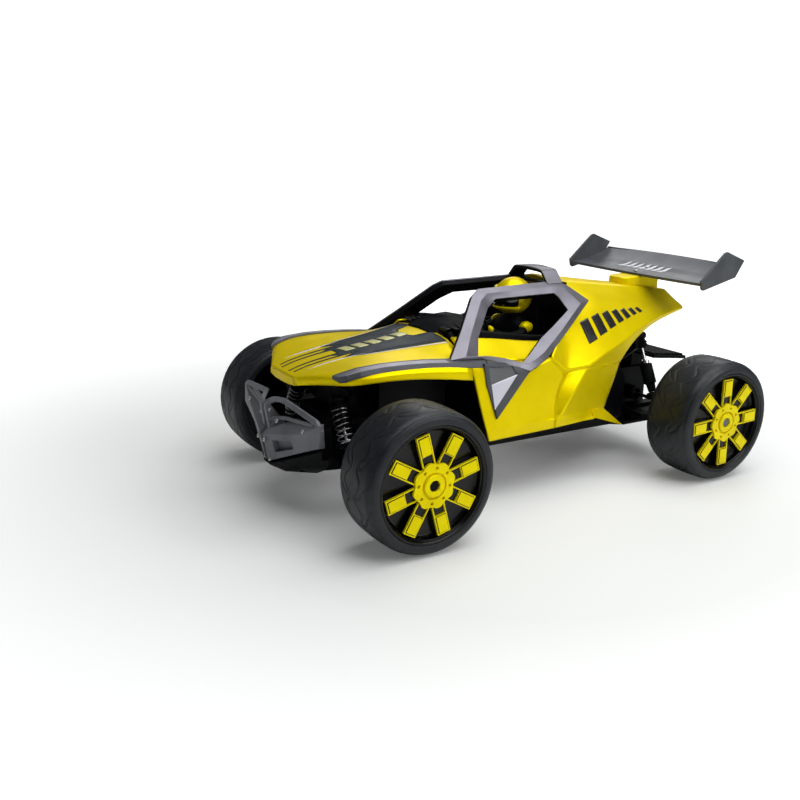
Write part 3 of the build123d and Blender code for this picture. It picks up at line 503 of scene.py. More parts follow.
def skin(lines, name, nodes=(), crease=()):
    """Yellow wall through lines of equal length; the lines named in crease stay sharp."""
    obj = Build().loft(list(lines.values()), closed=False, caps=False).piece(name, YELLOW, nodes)
    mark_creases(obj, {frozenset((a, b)) for key in crease for a, b in zip(lines[key], lines[key][1:])})
    return shade_lined(obj, 2)


def mark_creases(obj, sharp):
    """Creases the open edges and those whose ends are in the set, and pins the shared corners."""
    build = bmesh.new()
    build.from_mesh(obj.data)
    layer = build.edges.layers.float.new("crease_edge")
    rounded = {frozenset(tuple(round(c, 2) for c in p) for p in pair) for pair in sharp}
    for edge in build.edges:
        ends = frozenset(tuple(round(c / MM, 2) for c in v.co) for v in edge.verts)
        if ends in rounded or edge.is_boundary:
            edge[layer] = 1.0
    corner = build.verts.layers.float.new("crease_vert")
    fixed = {tuple(round(c, 2) for c in p) for p in CORNER_POINTS}
    for vert in build.verts:
        if tuple(round(c / MM, 2) for c in vert.co) in fixed:
            vert[corner] = 1.0
    build.to_mesh(obj.data)
    build.free()


def face_down(obj):
    """Turns the sheet's outside up and outwards, for the wall to go inside."""
    build = bmesh.new()
    build.from_mesh(obj.data)
    build.normal_update()
    lean = sum((f.normal.z + f.normal.y) * f.calc_area() for f in build.faces)
    if lean < 0:
        bmesh.ops.reverse_faces(build, faces=build.faces)
    build.to_mesh(obj.data)
    build.free()
    return obj


SCOOP_IN = [SEAM_FRONT, (-21, 77.4, 93), (-16, 78.0, 80), (-17.5, 79.4, 69)]
SCOOP_OUT = [SEAM_MID, (-38, 82.6, 95), (-28, 83.6, 82), (-20, 82.6, 69.6)]
REAR_POST = [SEAM_REAR, (-100.5, 65.2, 91), (-95, 65.2, 77), (-89, 66.4, 64.6)]
DOOR = {
    "front": [(75, 63.8, 127), (75, 76.2, 125), (74.4, 79, 118.4), (66.8, 79.6, 91), (59.6, 80, 70),
              (56.6, 80, 61.4), (54.0, 79.2, 55.4)],
    "strip": [(60, 63.6, 126.4), (61, 77.2, 124.4), (60, 79.6, 113), (54.6, 80.4, 92), (50.6, 81, 73),
              (50, 81, 66.6), (48.6, 79.4, 55.5)],
    "inner": [(40, 62, 124.6), (40, 77.5, 122), (44, 79.2, 106), (46, 80.4, 90), (45, 80.8, 71),
              (43, 81.2, 66.4), (41, 79.4, 55.9)],
    "panel": [(17, 66, 117), (17, 77.2, 113.4), (14, 79, 104), (13, 80.4, 90), (12, 81.0, 71.5),
              (11, 81.4, 66), (9, 79.5, 56.6)],
    "rear": [(-8, 70, 123.5), DOOR_TOP, SEAM_FRONT, SCOOP_IN[1], SCOOP_IN[3], (-18, 81.4, 66),
             (-19, 79.2, 57.4)],
}
REAR_SIDE = {
    "in": [*SCOOP_IN, (-18, 81.4, 66), (-19, 79.2, 57.4)],
    "out": [*SCOOP_OUT, (-22, 82.2, 66), (-23, 79.2, 57.5)],
    "mid": [(-80, 72.2, 107.8), (-71, 73.8, 93), (-63, 74.8, 79.5), (-57, 76.2, 67), (-54, 77.6, 64.6),
            (-48, 78, 58.4)],
    "post": [*REAR_POST, (-86, 67.4, 63), (-68, 76.6, 59.4)],
}
ROOF = [(-62, 0, 179.2), (-84, 0, 178), (-106, 0, 175.6), (-141, 0, 171), (-178, 0, 166.6), (-206, 0, 162.6)]
RAIL = [(-62, 22, 179), (-84, 21, 177.6), (-106, 19.5, 175), (-141, 18, 170.2), (-178, 17.5, 166),
        (-206, 18, 162.4)]
SHOULDER = [(-66, 42, 161), (-84, 44, 161), (-106, 44, 157.4), (-141, 40, 152.6), (-178, 33, 151),
            (-212, 27, 153)]
BULGE = [(-38, 58, 142), (-72, 60.5, 138), (-98, 59.5, 139), (-135, 53, 143), (-176, 43, 146),
         (-215, 34, 148.4)]
RIDGE = [SEAM_MID, (-75.5, 73.2, 117.4), (-110, 66, 126.6), (-134, 59.2, 135.4), (-169, 48.6, 142.4),
         (-217, 35, 145.6)]
TAIL_EDGE = [(-80, 72.2, 108), SEAM_REAR, (-116, 63, 116.5), (-136, 57.4, 129), (-169, 46.2, 137.6),
             (-216.6, 34.6, 143.6)]
SPIKE = [(-68, 76.6, 59.4), (-66, 74.4, 66), (-77, 71.8, 66), (-88, 66.6, 63.6), (-108, 74.2, 46)]


def sheet(name, faces, nodes, crease):
    """Yellow wall over faces given by their corners; polylines in crease stay sharp."""
    build = Build()
    for face in faces:
        build.add(face, [list(range(len(face)))])
    obj = build.piece(name, YELLOW, nodes)
    mark_creases(obj, {frozenset((a, b)) for line in crease for a, b in zip(line, line[1:])})
    return shade_lined(obj, 3)


def strip_faces(*rows):
    """Four-cornered faces between each row of points and the next."""
    return [[a[i], a[i + 1], b[i + 1], b[i]] for a, b in zip(rows, rows[1:]) for i in range(len(a) - 1)]


def make_quarter():
    """Rear quarter and roof: a bright upper skin over a ridge, turned under towards the tail edge."""
    faces = strip_faces(ROOF, RAIL, SHOULDER, BULGE)
    faces += [[BULGE[0], BULGE[1], SEAM_MID, SEAM_FRONT], [BULGE[0], SEAM_FRONT, DOOR_TOP]]
    faces += [[BULGE[1], BULGE[2], RIDGE[1], RIDGE[0]]]
    faces += strip_faces(BULGE[2:], RIDGE[2:])
    faces += [[BULGE[2], RIDGE[2], RIDGE[1]]]
    faces += [[RIDGE[0], RIDGE[1], TAIL_EDGE[1], TAIL_EDGE[0]],
              [RIDGE[1], RIDGE[2], TAIL_EDGE[2], TAIL_EDGE[1]]]
    faces += strip_faces(RIDGE[2:], TAIL_EDGE[2:])
    obj = sheet("rear_cowl_shell", faces, ["rear_cowl"],
                [RAIL, RIDGE, [SEAM_FRONT, SEAM_MID], [SEAM_FRONT, DOOR_TOP]])
    return mirror_y(face_down(obj))


def tucked(row):
    """The row with one more point, hidden under the panel above it."""
    x, y, z = row[0]
    return [(x, y - 1.6, z + 2.6), *row]


hood = mirror_y(face_down(skin(HOOD, "hood_shell", ["body_shell"], ("strip", "fender", "flare"))))
door_rows = list(DOOR.values())
side_rows = [tucked(row) for row in REAR_SIDE.values()]
mirror_y(face_down(sheet("side_shell", strip_faces(*door_rows), (), [
    [row[1] for row in door_rows], [row[5] for row in door_rows], door_rows[1][1:]])))
mirror_y(face_down(sheet("rear_side_shell", strip_faces(*side_rows), (), [
    SCOOP_OUT, [row[1] for row in side_rows], [row[4] for row in side_rows], [row[5] for row in side_rows]])))
quarter = make_quarter()

mirrored([
    [(211.9, 0, 116.4), (211.9, 14, 116.2), (211.2, 21, 115.6), (210.8, 22, 113), (210.2, 22, 109.2),
     (211.4, 13, 108.6), (212, 0, 108.6)],
    [(210.2, 0, 116.0), (210.2, 14, 115.8), (209.6, 20, 115.2), (209.2, 20.6, 113), (208.8, 20.6, 109.6),
     (209.8, 12.6, 109), (210.4, 0, 109)]], "nose_face", YELLOW, 0.5)
mirrored([SPIKE, moved(SPIKE, dy=-2.2)], "side_spike", YELLOW, 0.5)


# ---------------------------------------------------------------- roll cage
CAGE_FOOT_Y, CAGE_FOOT_Z, CAGE_LEAN = 75.0, 123.0, 0.84


def on_cage(x, z, out=0.0):
    """Point of the leaning window plane, moved out of it by so many millimetres."""
    scale = hypot(1, CAGE_LEAN)
    return (x, CAGE_FOOT_Y - CAGE_LEAN * (z - CAGE_FOOT_Z) + out / scale, z + out * CAGE_LEAN / scale)


# Outer edge, ridge and window edge of the frame, walked the same way round.
CAGE_OUTER = [(92, 128.5), (70, 149), (45, 174), (37, 178.4), (-4, 179.4), (-41, 180.3), (-59, 179.6),
              (-82, 162.5), (-46, 142.5), (-8.6, 122.6), (4, 117.6), (16, 114.2), (38, 121), (60, 127)]
CAGE_RIDGE = [(77, 129), (62, 146), (40, 168.5), (31, 173.4), (-4, 174.4), (-42, 175.4), (-56, 174.4),
              (-69, 160), (-34, 140.6), (-4, 125.4), (8, 121.2), (18, 119), (38, 124.2), (58, 128.2)]
CAGE_INNER = [(63, 129.4), (56, 142), (34, 163.4), (22, 169.8), (-8, 170.2), (-44.5, 170.6), (-48, 167.6),
              (-52.6, 156.4), (-30, 146), (-9, 137), (10, 126.2), (21.5, 120.6), (38, 126.0), (52, 128.6)]


def make_cage():
    """Side frames: a silver shell with a ridge between two facets, and a black lining inside it."""
    def section(*lines):
        rings = [[on_cage(x, z, out) for x, z in loop] for loop, out in lines]
        return [*rings, rings[0]]

    shell = section((CAGE_OUTER, -1.3), (CAGE_OUTER, 0.2), (CAGE_RIDGE, 2.0), (CAGE_INNER, 0.0),
                    (CAGE_INNER, -1.3))
    mirrored(shell, "cage_side", SILVER, 0.45, 3, 18, caps=False, nodes=["roll_cage"])
    lining = section((CAGE_OUTER, -1.1), (CAGE_OUTER, -6.4), (CAGE_INNER, -6.4), (CAGE_INNER, -1.1))
    mirrored(lining, "cage_lining", BLACK, 0.5, 2, 25, caps=False)


def make_hoop():
    """Strap arched over the roof, silver outside as a painted highlight along its top and black inside, with
    a fairing and a bridge below it.
    """
    path = rounded_path([(0, 30.5, 178.6), (0, 25.5, 184.6), (0, 20.5, 190.2), (0, 14, 191.0),
                         (0, 0, 191.2)], 4)
    outward = []
    for before, after in zip([path[0], *path], [*path[1:], path[-1]]):
        along = (after - before).normalized()
        outward.append(Vector((0, along.z, -along.y)))
    # The thin silver skin over the top is painted highlight along the strap's edge; the core below is black.
    for name, outer, inner, trim, material in (("hoop_highlight_skin", 0.0, 1.0, 0.0, SILVER),
                                               ("hoop_core", 0.8, 3.4, 0.5, BLACK)):
        rings = []
        for p, n in zip(path, outward):
            rings.append([(x, *(p - n * depth).yz) for x, depth in (
                (-58 + trim, outer), (-40.5 - trim, outer), (-40.5 - trim, inner), (-58 + trim, inner))])
        mirrored(rings, name, material, 0.4, 2)
    fairing = [[(-62, 0, 178.8), (-62, 14, 178.6), (-62, 16, 175), (-62, 0, 174.8)],
               [(-57, 0, 182.6), (-57, 12.5, 182.2), (-57, 15, 175), (-57, 0, 174.8)],
               [(-49, 0, 182.2), (-49, 11.5, 181.8), (-49, 13.5, 175), (-49, 0, 174.8)],
               [(-45.5, 0, 178.2), (-45.5, 9.5, 177.8), (-45.5, 11, 175), (-45.5, 0, 174.8)]]
    mirrored(fairing, "roof_fairing", YELLOW, 0.8)
    bridge = [(-64, 0, 178.8), (-64, 30, 178.8), (-41, 29.5, 179.8), (-40, 0, 180)]
    mirrored([bridge, moved(bridge, dz=-3.0)], "roof_bridge", BLACK, 0.8)


make_cage()
make_hoop()


# ---------------------------------------------------------------- side trim
STRIP_TOP = [(195, 58.5, 124.6), (190, 60.5, 126.6), (176, 62.8, 130.0), (157, 63.8, 131.6), (136, 64, 131.6),
             (116, 64.2, 131), (96, 64.5, 129.6), (75, 64.6, 128.2), (57, 64.4, 127.4)]
STRIP_EDGE = [(191.5, 66, 124.6), (188, 70, 126.2), (178, 73.6, 129), (157, 74.6, 130.6), (136, 75, 130.6),
              (116, 75.2, 129.8), (96, 75.6, 128.2), (75, 76.4, 126.2), (58, 77.4, 125.2)]
STRIP_FOOT = [(190.5, 67.5, 121.6), (187.2, 71.6, 122.6), (177.6, 75.0, 124.8), (157, 76, 126.8),
              (136, 76.4, 126.8), (116, 76.6, 126), (96, 77, 124.4), (75, 77.8, 122.2), (58, 78.6, 121.2)]


def make_strip():
    """Bar along the fender, dark grey with a silver face on its upper outer facet that is painted highlight,
    and the dark band from it to the insert.
    """
    mid = [tuple((a * 0.72 + b * 0.28) for a, b in zip(p, q)) for p, q in zip(STRIP_TOP, STRIP_EDGE)]
    under, base = moved(STRIP_FOOT, 0, -3.5, -3.0), moved(STRIP_TOP, dz=-3.2)
    rings = [list(r) for r in zip(base, STRIP_TOP, mid, STRIP_EDGE, STRIP_FOOT, under)]
    mirrored(rings, "fender_strip", TRIM, 0.7, 3, 15)
    # The upper outer facet gets lighter silver: painted highlight where light falls on the strip.
    highlight_edges = [moved(edges, dz=0.25) for edges in zip(mid, STRIP_EDGE)]
    rings = [[(a[0], a[1] + 0.6, a[2]), (b[0], b[1] - 0.5, b[2] + 0.1), (b[0], b[1] - 0.5, b[2] - 0.5),
              (a[0], a[1] + 0.6, a[2] - 0.5)] for a, b in highlight_edges[:-2]]
    mirrored(rings, "fender_strip_highlight", STRIP_HIGHLIGHT, 0.2, 2)
    band = [(60, 77.6, 126.2), (40, 77.9, 122.8), (29, 77.8, 117.6), (21, 78, 115.6)]
    low = [(60, 79.9, 121), (40, 79.4, 118.6), (30, 79.6, 113.6), (22, 79.4, 112.4)]
    rings = [[a, b, *moved((b, a), dy=-3)] for a, b in zip(band, low)]
    mirrored(rings, "side_band", TRIM, 0.5, 2)


def make_side_insert():
    """Pointed insert below the window: a grey panel over a bright wedge, in a wide darker rim."""
    rim_out = [(63.6, 79.6, 125), (60.6, 81.2, 105.6), (49.6, 82.8, 75.4), (15.4, 80.8, 113.4),
               (21, 79.4, 117.4)]
    rim_in = [(59.4, 80.0, 122), (56.6, 81.4, 106), (52.2, 82.4, 84), (29.6, 81.6, 112.4),
              (34.5, 80.2, 119.6)]
    behind = moved(rim_out, dy=-3.5)
    rings = [behind, rim_out, rim_in, moved(rim_in, dy=-3.5), behind]
    mirrored(rings, "insert_rim", TRIM, 0.6, 3, 18, caps=False)
    grey = [(61, 79.2, 123.6), (33, 79.0, 120.6), (28, 80.6, 112.4), (58.4, 80.6, 105.4)]
    mirrored([grey, moved(grey, dy=-1.5)], "insert_panel", INSERT, 0.4, 2)
    wedge = [(56.6, 81.5, 106), (29.4, 81.9, 112.6), (52.4, 82.5, 83.6)]
    mirrored([wedge, moved(wedge, dy=-2.5)], "insert_wedge", BRIGHT, 0.5)


make_strip()
make_side_insert()


# ---------------------------------------------------------------- printed graphics
def surface_of(obj):
    """Search tree of a piece as it is shown, in the row frame."""
    bpy.context.view_layer.update()
    shown = obj.evaluated_get(bpy.context.evaluated_depsgraph_get())
    mesh = shown.to_mesh()
    tree = BVHTree.FromPolygons([obj.matrix_world @ v.co for v in mesh.vertices],
                                [tuple(p.vertices) for p in mesh.polygons])
    shown.to_mesh_clear()
    return tree


def decal(name, outlines, tree, material, look, lift=0.12, step=2.0, mirror=True):
    """Film laid on a surface: outlines in mm on the plane across look, dropped along look."""
    look = Vector(look).normalized()
    build = bmesh.new()
    for outline in outlines:
        corners = [Vector(p) for p in outline]
        loop = []
        for a, b in zip(corners, corners[1:] + corners[:1]):
            parts = max(1, int((b - a).length / step))
            loop += [a.lerp(b, i / parts) for i in range(parts)]
        verts = [build.verts.new(p) for p in loop]
        edges = [build.edges.new((verts[i - 1], verts[i])) for i in range(len(verts))]
        bmesh.ops.triangle_fill(build, edges=edges, use_beauty=True)
    for _ in range(2):
        long = [e for e in build.edges if e.calc_length() > step * 1.6]
        if long:
            bmesh.ops.subdivide_edges(build, edges=long, cuts=1)
            bmesh.ops.triangulate(build, faces=build.faces)
    lost = []
    for vert in build.verts:
        spot = tree.ray_cast((vert.co - look * 60) * MM, look, 0.12)[0]
        if spot is None:
            lost.append(vert)
        else:
            vert.co = spot / MM - look * lift
    bmesh.ops.delete(build, geom=lost, context="VERTS")
    points = [tuple(v.co) for v in build.verts]
    build.verts.index_update()
    faces = [[v.index for v in f.verts] for f in build.faces]
    build.free()
    film = solidify(new_piece(name, points, faces, material), 0.1, 1.0)
    if mirror:
        mirror_y(film)
    return film


def make_hood_prints():
    """Dark field, stripes, slanted blocks and pinstripe on the nose."""
    top = surface_of(hood)

    def print_on_hood(name, outlines, material, lift, mirror=True):
        above = [[(x, y, 150) for x, y in outline] for outline in outlines]
        decal(name, above, top, material, (0, 0, -1), lift, mirror=mirror)

    print_on_hood("hood_field", [[
        (163, 0), (163, 8), (170, 8.5), (163, 13.5), (150, 14), (166, 22), (150, 27), (136, 29.2),
        (116, 32.6), (96, 37.4), (77, 42), (77, 17), (92, 13), (99, 0)]], SLATE, 0.10)
    print_on_hood("nose_stripes", [[(208, 6.2), (160, 5.2), (160, 8.8), (208, 7.8)],
                                   [(206.5, 13.0), (152, 12.6), (152, 16), (206, 14.6)]], SLATE, 0.14)
    print_on_hood("nose_blocks", [
        [(front, -6.4), (front - 9.6, -6.4), (front - 12.6, 6.4), (front - 3.0, 6.4)]
        for front in (158 - 13 * k for k in range(5))], CHAMPAGNE, 0.26, mirror=False)
    print_on_hood("nose_spears", [[(201, 22), (146, 25.5), (176, 21.2)]], BRIGHT, 0.2)
    print_on_hood("hood_pinstripe", [[(150, 27.4), (116, 33.8), (96, 38.6), (77, 43.6), (77, 44.8),
                                      (96, 39.8), (116, 35), (150, 28.4)]], BRIGHT, 0.2)


def make_quarter_bars():
    """Slanted bars on the rear quarter, shorter towards the tail."""
    bars = []
    for k, (x, z, tall) in enumerate(((-64, 136, 26), (-80, 142.5, 23.5), (-95, 147.5, 19.5),
                                      (-109, 151.5, 15.5), (-122, 154.6, 12), (-134, 157.2, 9),
                                      (-145, 159.4, 6.6))):
        wide, low = 11.4 - 1.0 * k, z - tall / 2
        rise = wide * 0.42
        bars.append([(x, 60, low), (x - wide, 60, low + rise), (x - wide + 3.5, 60, low + tall + rise),
                     (x + 3.5, 60, low + tall)])
    decal("quarter_bars", bars, surface_of(quarter), INK, (0, -0.83, -0.55), 0.15, 1.6)


make_hood_prints()
make_quarter_bars()


# ---------------------------------------------------------------- cowl, cockpit and driver
def make_cowl():
    """Black scuttle in front of the driver: a raised dark bulge over the rear of the hood."""
    rings = []
    for x, ridge, half, low in ((80, 142.2, 17, 141.4), (74, 145.2, 26, 141.6), (66, 149.6, 33, 141.8),
                                (54, 151.4, 38, 141.6), (42, 150.8, 40, 140.0), (36, 149.6, 40, 138)):
        ring = [(x, half * k / 8, low + (ridge - low) * (1 - (k / 8) ** 2.6)) for k in range(9)]
        rings.append([*ring, (x, half + 2.5, low - 3)])
    cowl = face_down(Build().loft(rings, closed=False, caps=False).piece("cowl_bulge", BLACK))
    solidify(subdivide(mirror_y(cowl), 2), 1.6)
    vents = Build()
    for x, y in ((70, 30), (62, 34)):
        vents.box((x - 2.6, y - 8, 143.4), (x + 2.6, y + 4, 146.5))
    bevel(mirror_y(vents.piece("cowl_vents", BLACK_GLOSS)), 0.6, 2)


def make_sill():
    """Yellow door sill inside the window, with a black trim band above it."""
    sill = {"top": [(74, 44, 141.6), (46, 49.6, 141), (15, 50, 136), (-16, 49.6, 131.4), (-50, 50, 131)],
            "mid": [(74, 54, 135), (46, 53, 135), (15, 56, 130), (-16, 57, 125.6), (-50, 58, 126)],
            "low": [(74, 63, 127.4), (54, 62, 126.6), (17, 65, 117.4), (-10, 69, 117.6), (-50, 62, 121)]}
    mirror_y(face_down(skin(sill, "door_sill")))
    path = rounded_path([(60, 44, 143.4), (46, 47.6, 142.8), (15, 48, 138), (-16, 47.6, 133.4),
                         (-56, 48, 133)], 12)
    trim = Build().sweep(path, [(-2.6, -3), (2.6, -3), (2.6, 1.6), (1.4, 2.8), (-1.4, 2.8), (-2.6, 1.6)])
    bevel(mirror_y(trim.piece("sill_trim", BLACK)), 0.6, 2)


def ellipse_ring(centre, radii, height, count=32, power=2.4):
    """Rounded-square ring in a level plane."""
    ring = []
    for i in range(count):
        t = 2 * pi * i / count
        c, s = cos(t), sin(t)
        reach = (abs(c) ** power + abs(s) ** power) ** (-1 / power)
        ring.append((centre[0] + radii[0] * c * reach, centre[1] + radii[1] * s * reach, height))
    return ring


HELMET_X, HELMET_Z, HELMET_R = -25.0, 164.0, 17.3


def helmet_point(lon, lat, grow=0.0):
    """Point of the helmet at that angle, longer at the back and drawn forward at the chin."""
    back = 1 + 0.05 * max(0.0, -cos(lon))
    r = HELMET_R + grow
    chin = max(0.0, cos(lon)) ** 2 * max(0.0, -sin(lat)) ** 0.8
    return (HELMET_X + r * 1.08 * back * cos(lat) * cos(lon) + 3.6 * chin * cos(lat),
            (r * 0.94) * cos(lat) * sin(lon),
            HELMET_Z + r * (1.03 if lat > 0 else 0.98) * sin(lat))


def make_helmet():
    """Closed shell, dark visor, and a yellow band above and below it."""
    columns, rows, neck = 48, 28, -1.15
    shell, visor = Build(), Build()
    shell.loft([[helmet_point(2 * pi * c / columns, neck + (pi / 2 - 0.02 - neck) * r / rows)
                 for c in range(columns)] for r in range(rows + 1)])
    visor.loft([[helmet_point(-1.30 + 2.60 * c / 24, -0.52 + 0.86 * r / 10, 0.9 - 0.5 * abs(c - 12) / 12)
                 for c in range(25)] for r in range(11)], closed=False, caps=False)
    shell.piece("helmet_shell", YELLOW, ["driver_figure"], slot="driver_suit")
    solidify(visor.piece("helmet_visor", VISOR), 0.8, -1)
    for name, low, high in (("helmet_brow", 0.34, 0.50), ("helmet_chin", -0.62, -0.48)):
        band = Build().loft([[helmet_point(-1.42 + 2.84 * c / 24, lat, grow) for lat, grow in
                              ((low, 0.2), (low, 2.0), (high, 2.0), (high, 0.2))] for c in range(25)])
        bevel(band.piece(name, YELLOW_WHEEL, slot="driver_suit"), 0.5, 2)


def make_figure():
    """Generic driver below the helmet: torso, arms, shoulder pads and gloves."""
    torso = [ellipse_ring((-24, 0), (12, 18), 107.4), ellipse_ring((-24, 0), (12.5, 19), 118),
             ellipse_ring((-25, 0), (12, 22), 132), ellipse_ring((-25, 0), (11, 21.5), 139),
             ellipse_ring((-25.5, 0), (8.5, 13), 144.5), ellipse_ring((-25.5, 0), (7, 8), 149)]
    subdivide(Build().loft(torso).piece("driver_torso", BLACK, slot="driver_suit"), 1)
    for name, y in (("left", 1), ("right", -1)):
        arm = rounded_path([(-25, 21 * y, 137), (-14, 25 * y, 131), (-2, 19 * y, 131), (9, 13 * y, 136)], 8)
        rings = []
        for i, p in enumerate(arm):
            r = 5.2 - 1.6 * i / (len(arm) - 1)
            rings.append([(p.x + 0.3 * c, p.y + s, p.z + c) for s, c in circle_of(r, 16)])
        subdivide(Build().loft(rings).piece(f"driver_arm_{name}", BLACK, slot="driver_suit"), 1)
        pad = [[(-25 + a * 7.4 * s, (20.5 + b) * y, 138 + a * 5.6 * c) for s, c in circle_of(1, 20)]
               for a, b in ((1, 0), (0.94, 3.2), (0.6, 5.2), (0.2, 5.8))]
        bevel(Build().loft(pad).piece(f"driver_shoulder_{name}", YELLOW_WHEEL, slot="driver_suit"), 0.4, 2)
        hand = [[(9.5 + 3.4 * a * s, (13 + b) * y, 137 + 3.8 * a * c) for s, c in circle_of(1, 14)]
                for a, b in ((0.4, -4), (0.95, -3), (1, 0), (0.9, 2.6), (0.3, 3.6))]
        subdivide(Build().loft(hand).piece(f"driver_hand_{name}", YELLOW_WHEEL, slot="driver_suit"), 1)


def make_cockpit():
    """Steering wheel on its column, seat back, and the black wall behind the seat."""
    ring = [(12.5 + 4.5 * s * 0.4, 12.5 * c, 138 + 11 * s) for s, c in circle_of(1, 40)]
    wheel = Build().sweep(ring, circle(1.5, 10), closed=True, up=(1, 0, 0.2))
    wheel.sweep([(13, 0, 138), (33, 0, 132)], circle(2.4, 12), up=(0, 1, 0))
    for y, rise in ((0, 12), (11, -5), (-11, -5)):
        wheel.sweep([(13, 0, 138), (13 + rise * 0.15, y, 138 + rise * 0.85)], circle(1.1, 8), up=(1, 0, 0))
    wheel.piece("cockpit_wheel", BLACK)
    seat = [[(front, -half, z), (front, half, z), (front - 4 - soft, half, z), (front - 4 - soft, -half, z)]
            for front, half, z, soft in ((-37, 17, 110, 0), (-41, 18, 140, 1), (-44, 13, 160, 0))]
    bevel(Build().loft(seat).piece("seat_back", BLACK), 2.0, 4)
    half = [(-68.2, 54, 124), (-68.2, 55, 138), (-68.2, 40, 157), (-68.2, 21, 173.5)]
    wall = half + [(x, -y, z) for x, y, z in half[::-1]]
    firewall = Build().loft([wall, moved(wall, dx=1.8)])
    bevel(firewall.piece("cockpit_firewall", BLACK), 0.4, 2)


def make_arch_liner():
    """Black walls that close the front wheel arches to each other, and a tray under the hood."""
    liner = Build().box((55, -74, 68), (58, 74, 112)).box((56, -36, 113), (150, 36, 115.5))
    liner.box((60, -1, 66.8), (165, 1, 90))
    for near, far in ((46, 76), (-76, -46)):
        liner.box((55, near, 58), (57.6, far, 69))
    bevel(liner.piece("arch_liner", BLACK), 0.4, 2)


make_cowl()
make_sill()
make_helmet()
make_figure()
make_cockpit()
make_arch_liner()


# ---------------------------------------------------------------- rear wing and pylon
WING_FRONT_X, WING_CHORD, WING_HALF = -174.2, 54.2, 90.5


def wing_height(t):
    """Mid-line height of the blade at that share of its chord."""
    return 178.4 + 14.6 * t ** 1.9 - 0.4 * sin(pi * t)


def make_blade():
    """Cambered blade, bowed up along its trailing edge."""
    chord = [t / 14 for t in range(15)]
    top, low = ([(WING_FRONT_X - WING_CHORD * t, wing_height(t) + side * (1.1 * (1 - t) ** 0.5 + 0.25))
                 for t in chord] for side in (1, -1))
    loop = top + low[::-1]
    rings = []
    for y in (-WING_HALF, -72, -48, -24, 0, 24, 48, 72, WING_HALF):
        bow = 1 - (y / WING_HALF) ** 2
        rings.append([(x, y, z + bow * (1.6 if x < -200 else -0.7 if x > -180 else 0.4)) for x, z in loop])
    return bevel(Build().loft(rings).piece("wing_blade", WING, ["rear_wing"]), 0.3, 2, 40)


def make_wing_fittings():
    """Kinked endplates, trailing lip, rounded yellow pylon and two bolts."""
    plate = [(-172.6, 181.5), (-174.4, 174.6), (-177, 172.8), (-220, 183.2), (-230.4, 199), (-205, 208.2),
             (-201, 206.6)]
    plates = Build()
    for y in (-92.6, 90.2):
        plates.prism(plate, [], lambda u, v, h: (u, h, v), y, y + 2.4)
    bevel(plates.piece("wing_endplates", WING), 0.7, 3)
    lip = Build().sweep([(-227.4, -90, 192.6), (-227.4, 90, 192.6)],
                        [(-1.2, -0.8), (1.2, -0.8), (1.2, 1.0), (-1.2, 1.0)])
    bevel(lip.piece("wing_lip", WING), 0.4, 2)
    outline = []
    for cx, start in ((-162, -90), (-162, 0), (-197, 90), (-197, 180)):
        cy = 4 if start in (0, 90) else -4
        turns = [radians(start + 15 * k) for k in range(7)]
        outline += [(cx + 9 * cos(t), cy + 9 * sin(t)) for t in turns]
    pylon = Build().loft([[(x, y, 160 if x < -170 else 164) for x, y in outline],
                          [(x, y, 175.6 + 0.05 * (-153 - x)) for x, y in outline]])
    bevel(pylon.piece("wing_pylon", YELLOW), 1.6, 4)
    bolts = Build()
    for x in (-182, -198):
        bolts.lathe([(0, 0), (0, 2.6), (1.1, 2.6), (1.6, 1.9), (1.6, 1.0), (0.6, 0.9), (0.6, 0)],
                    (x, 0, wing_height((WING_FRONT_X - x) / WING_CHORD) + 0.8), (0, 0, 1), (1, 0, 0), 24)
    bevel(bolts.piece("wing_bolts", STEEL), 0.15, 2)


blade = make_blade()
make_wing_fittings()
decal("wing_streaks", [[(-190.5, y, 240), (-188.5, y - 7.5, 240), (-200, y - 2.5, 240), (-203, y + 2, 240)]
                       for y in range(26, -29, -9)],
      surface_of(blade), WHITE_INK, (0, 0, -1), mirror=False)


# ---------------------------------------------------------------- front bumper
def make_bumper():
    """Two raked boxes meeting at the nose, each with a recess in front."""
    front = [(230.6, 2.5, 66), (219.6, 48, 76.4), (216.4, 48, 61), (225.8, 2.5, 41.2)]
    recess = [(226.4, 13, 62.6), (221.4, 38, 68.4), (218.9, 38, 61.8), (223.7, 13, 52.2)]
    deep = moved(recess, dx=-5.5)
    side_top, side_low = (213.6, 76, 90.6), (214.2, 76, 72.5)
    back_top, back_low = (210, 74, 90.4), (206, 70, 70)
    inner_top, inner_low, inner_end = (217, 26, 81.4), (203, 2.5, 46), (213.5, 60, 88.6)
    nose_top, nose_back = (226.5, 2.5, 70.5), (204, 2.5, 66)
    box = Build().loft([front, recess, deep], caps=False)
    for face in (deep, [front[1], side_top, side_low, front[2]],
                 [front[0], nose_top, inner_top, inner_end, side_top, front[1]],
                 [side_top, back_top, back_low, side_low],
                 [front[3], front[2], side_low, back_low, inner_low],
                 [inner_top, inner_end, side_top, back_top, back_low, inner_low, nose_back, nose_top],
                 [front[0], front[3], inner_low, nose_back, nose_top]):
        box.add(face, [list(range(len(face)))])
    bevel(mirror_y(box.piece("bumper_boxes", BUMPER, ["front_bumper"])), 0.8, 3, 15)


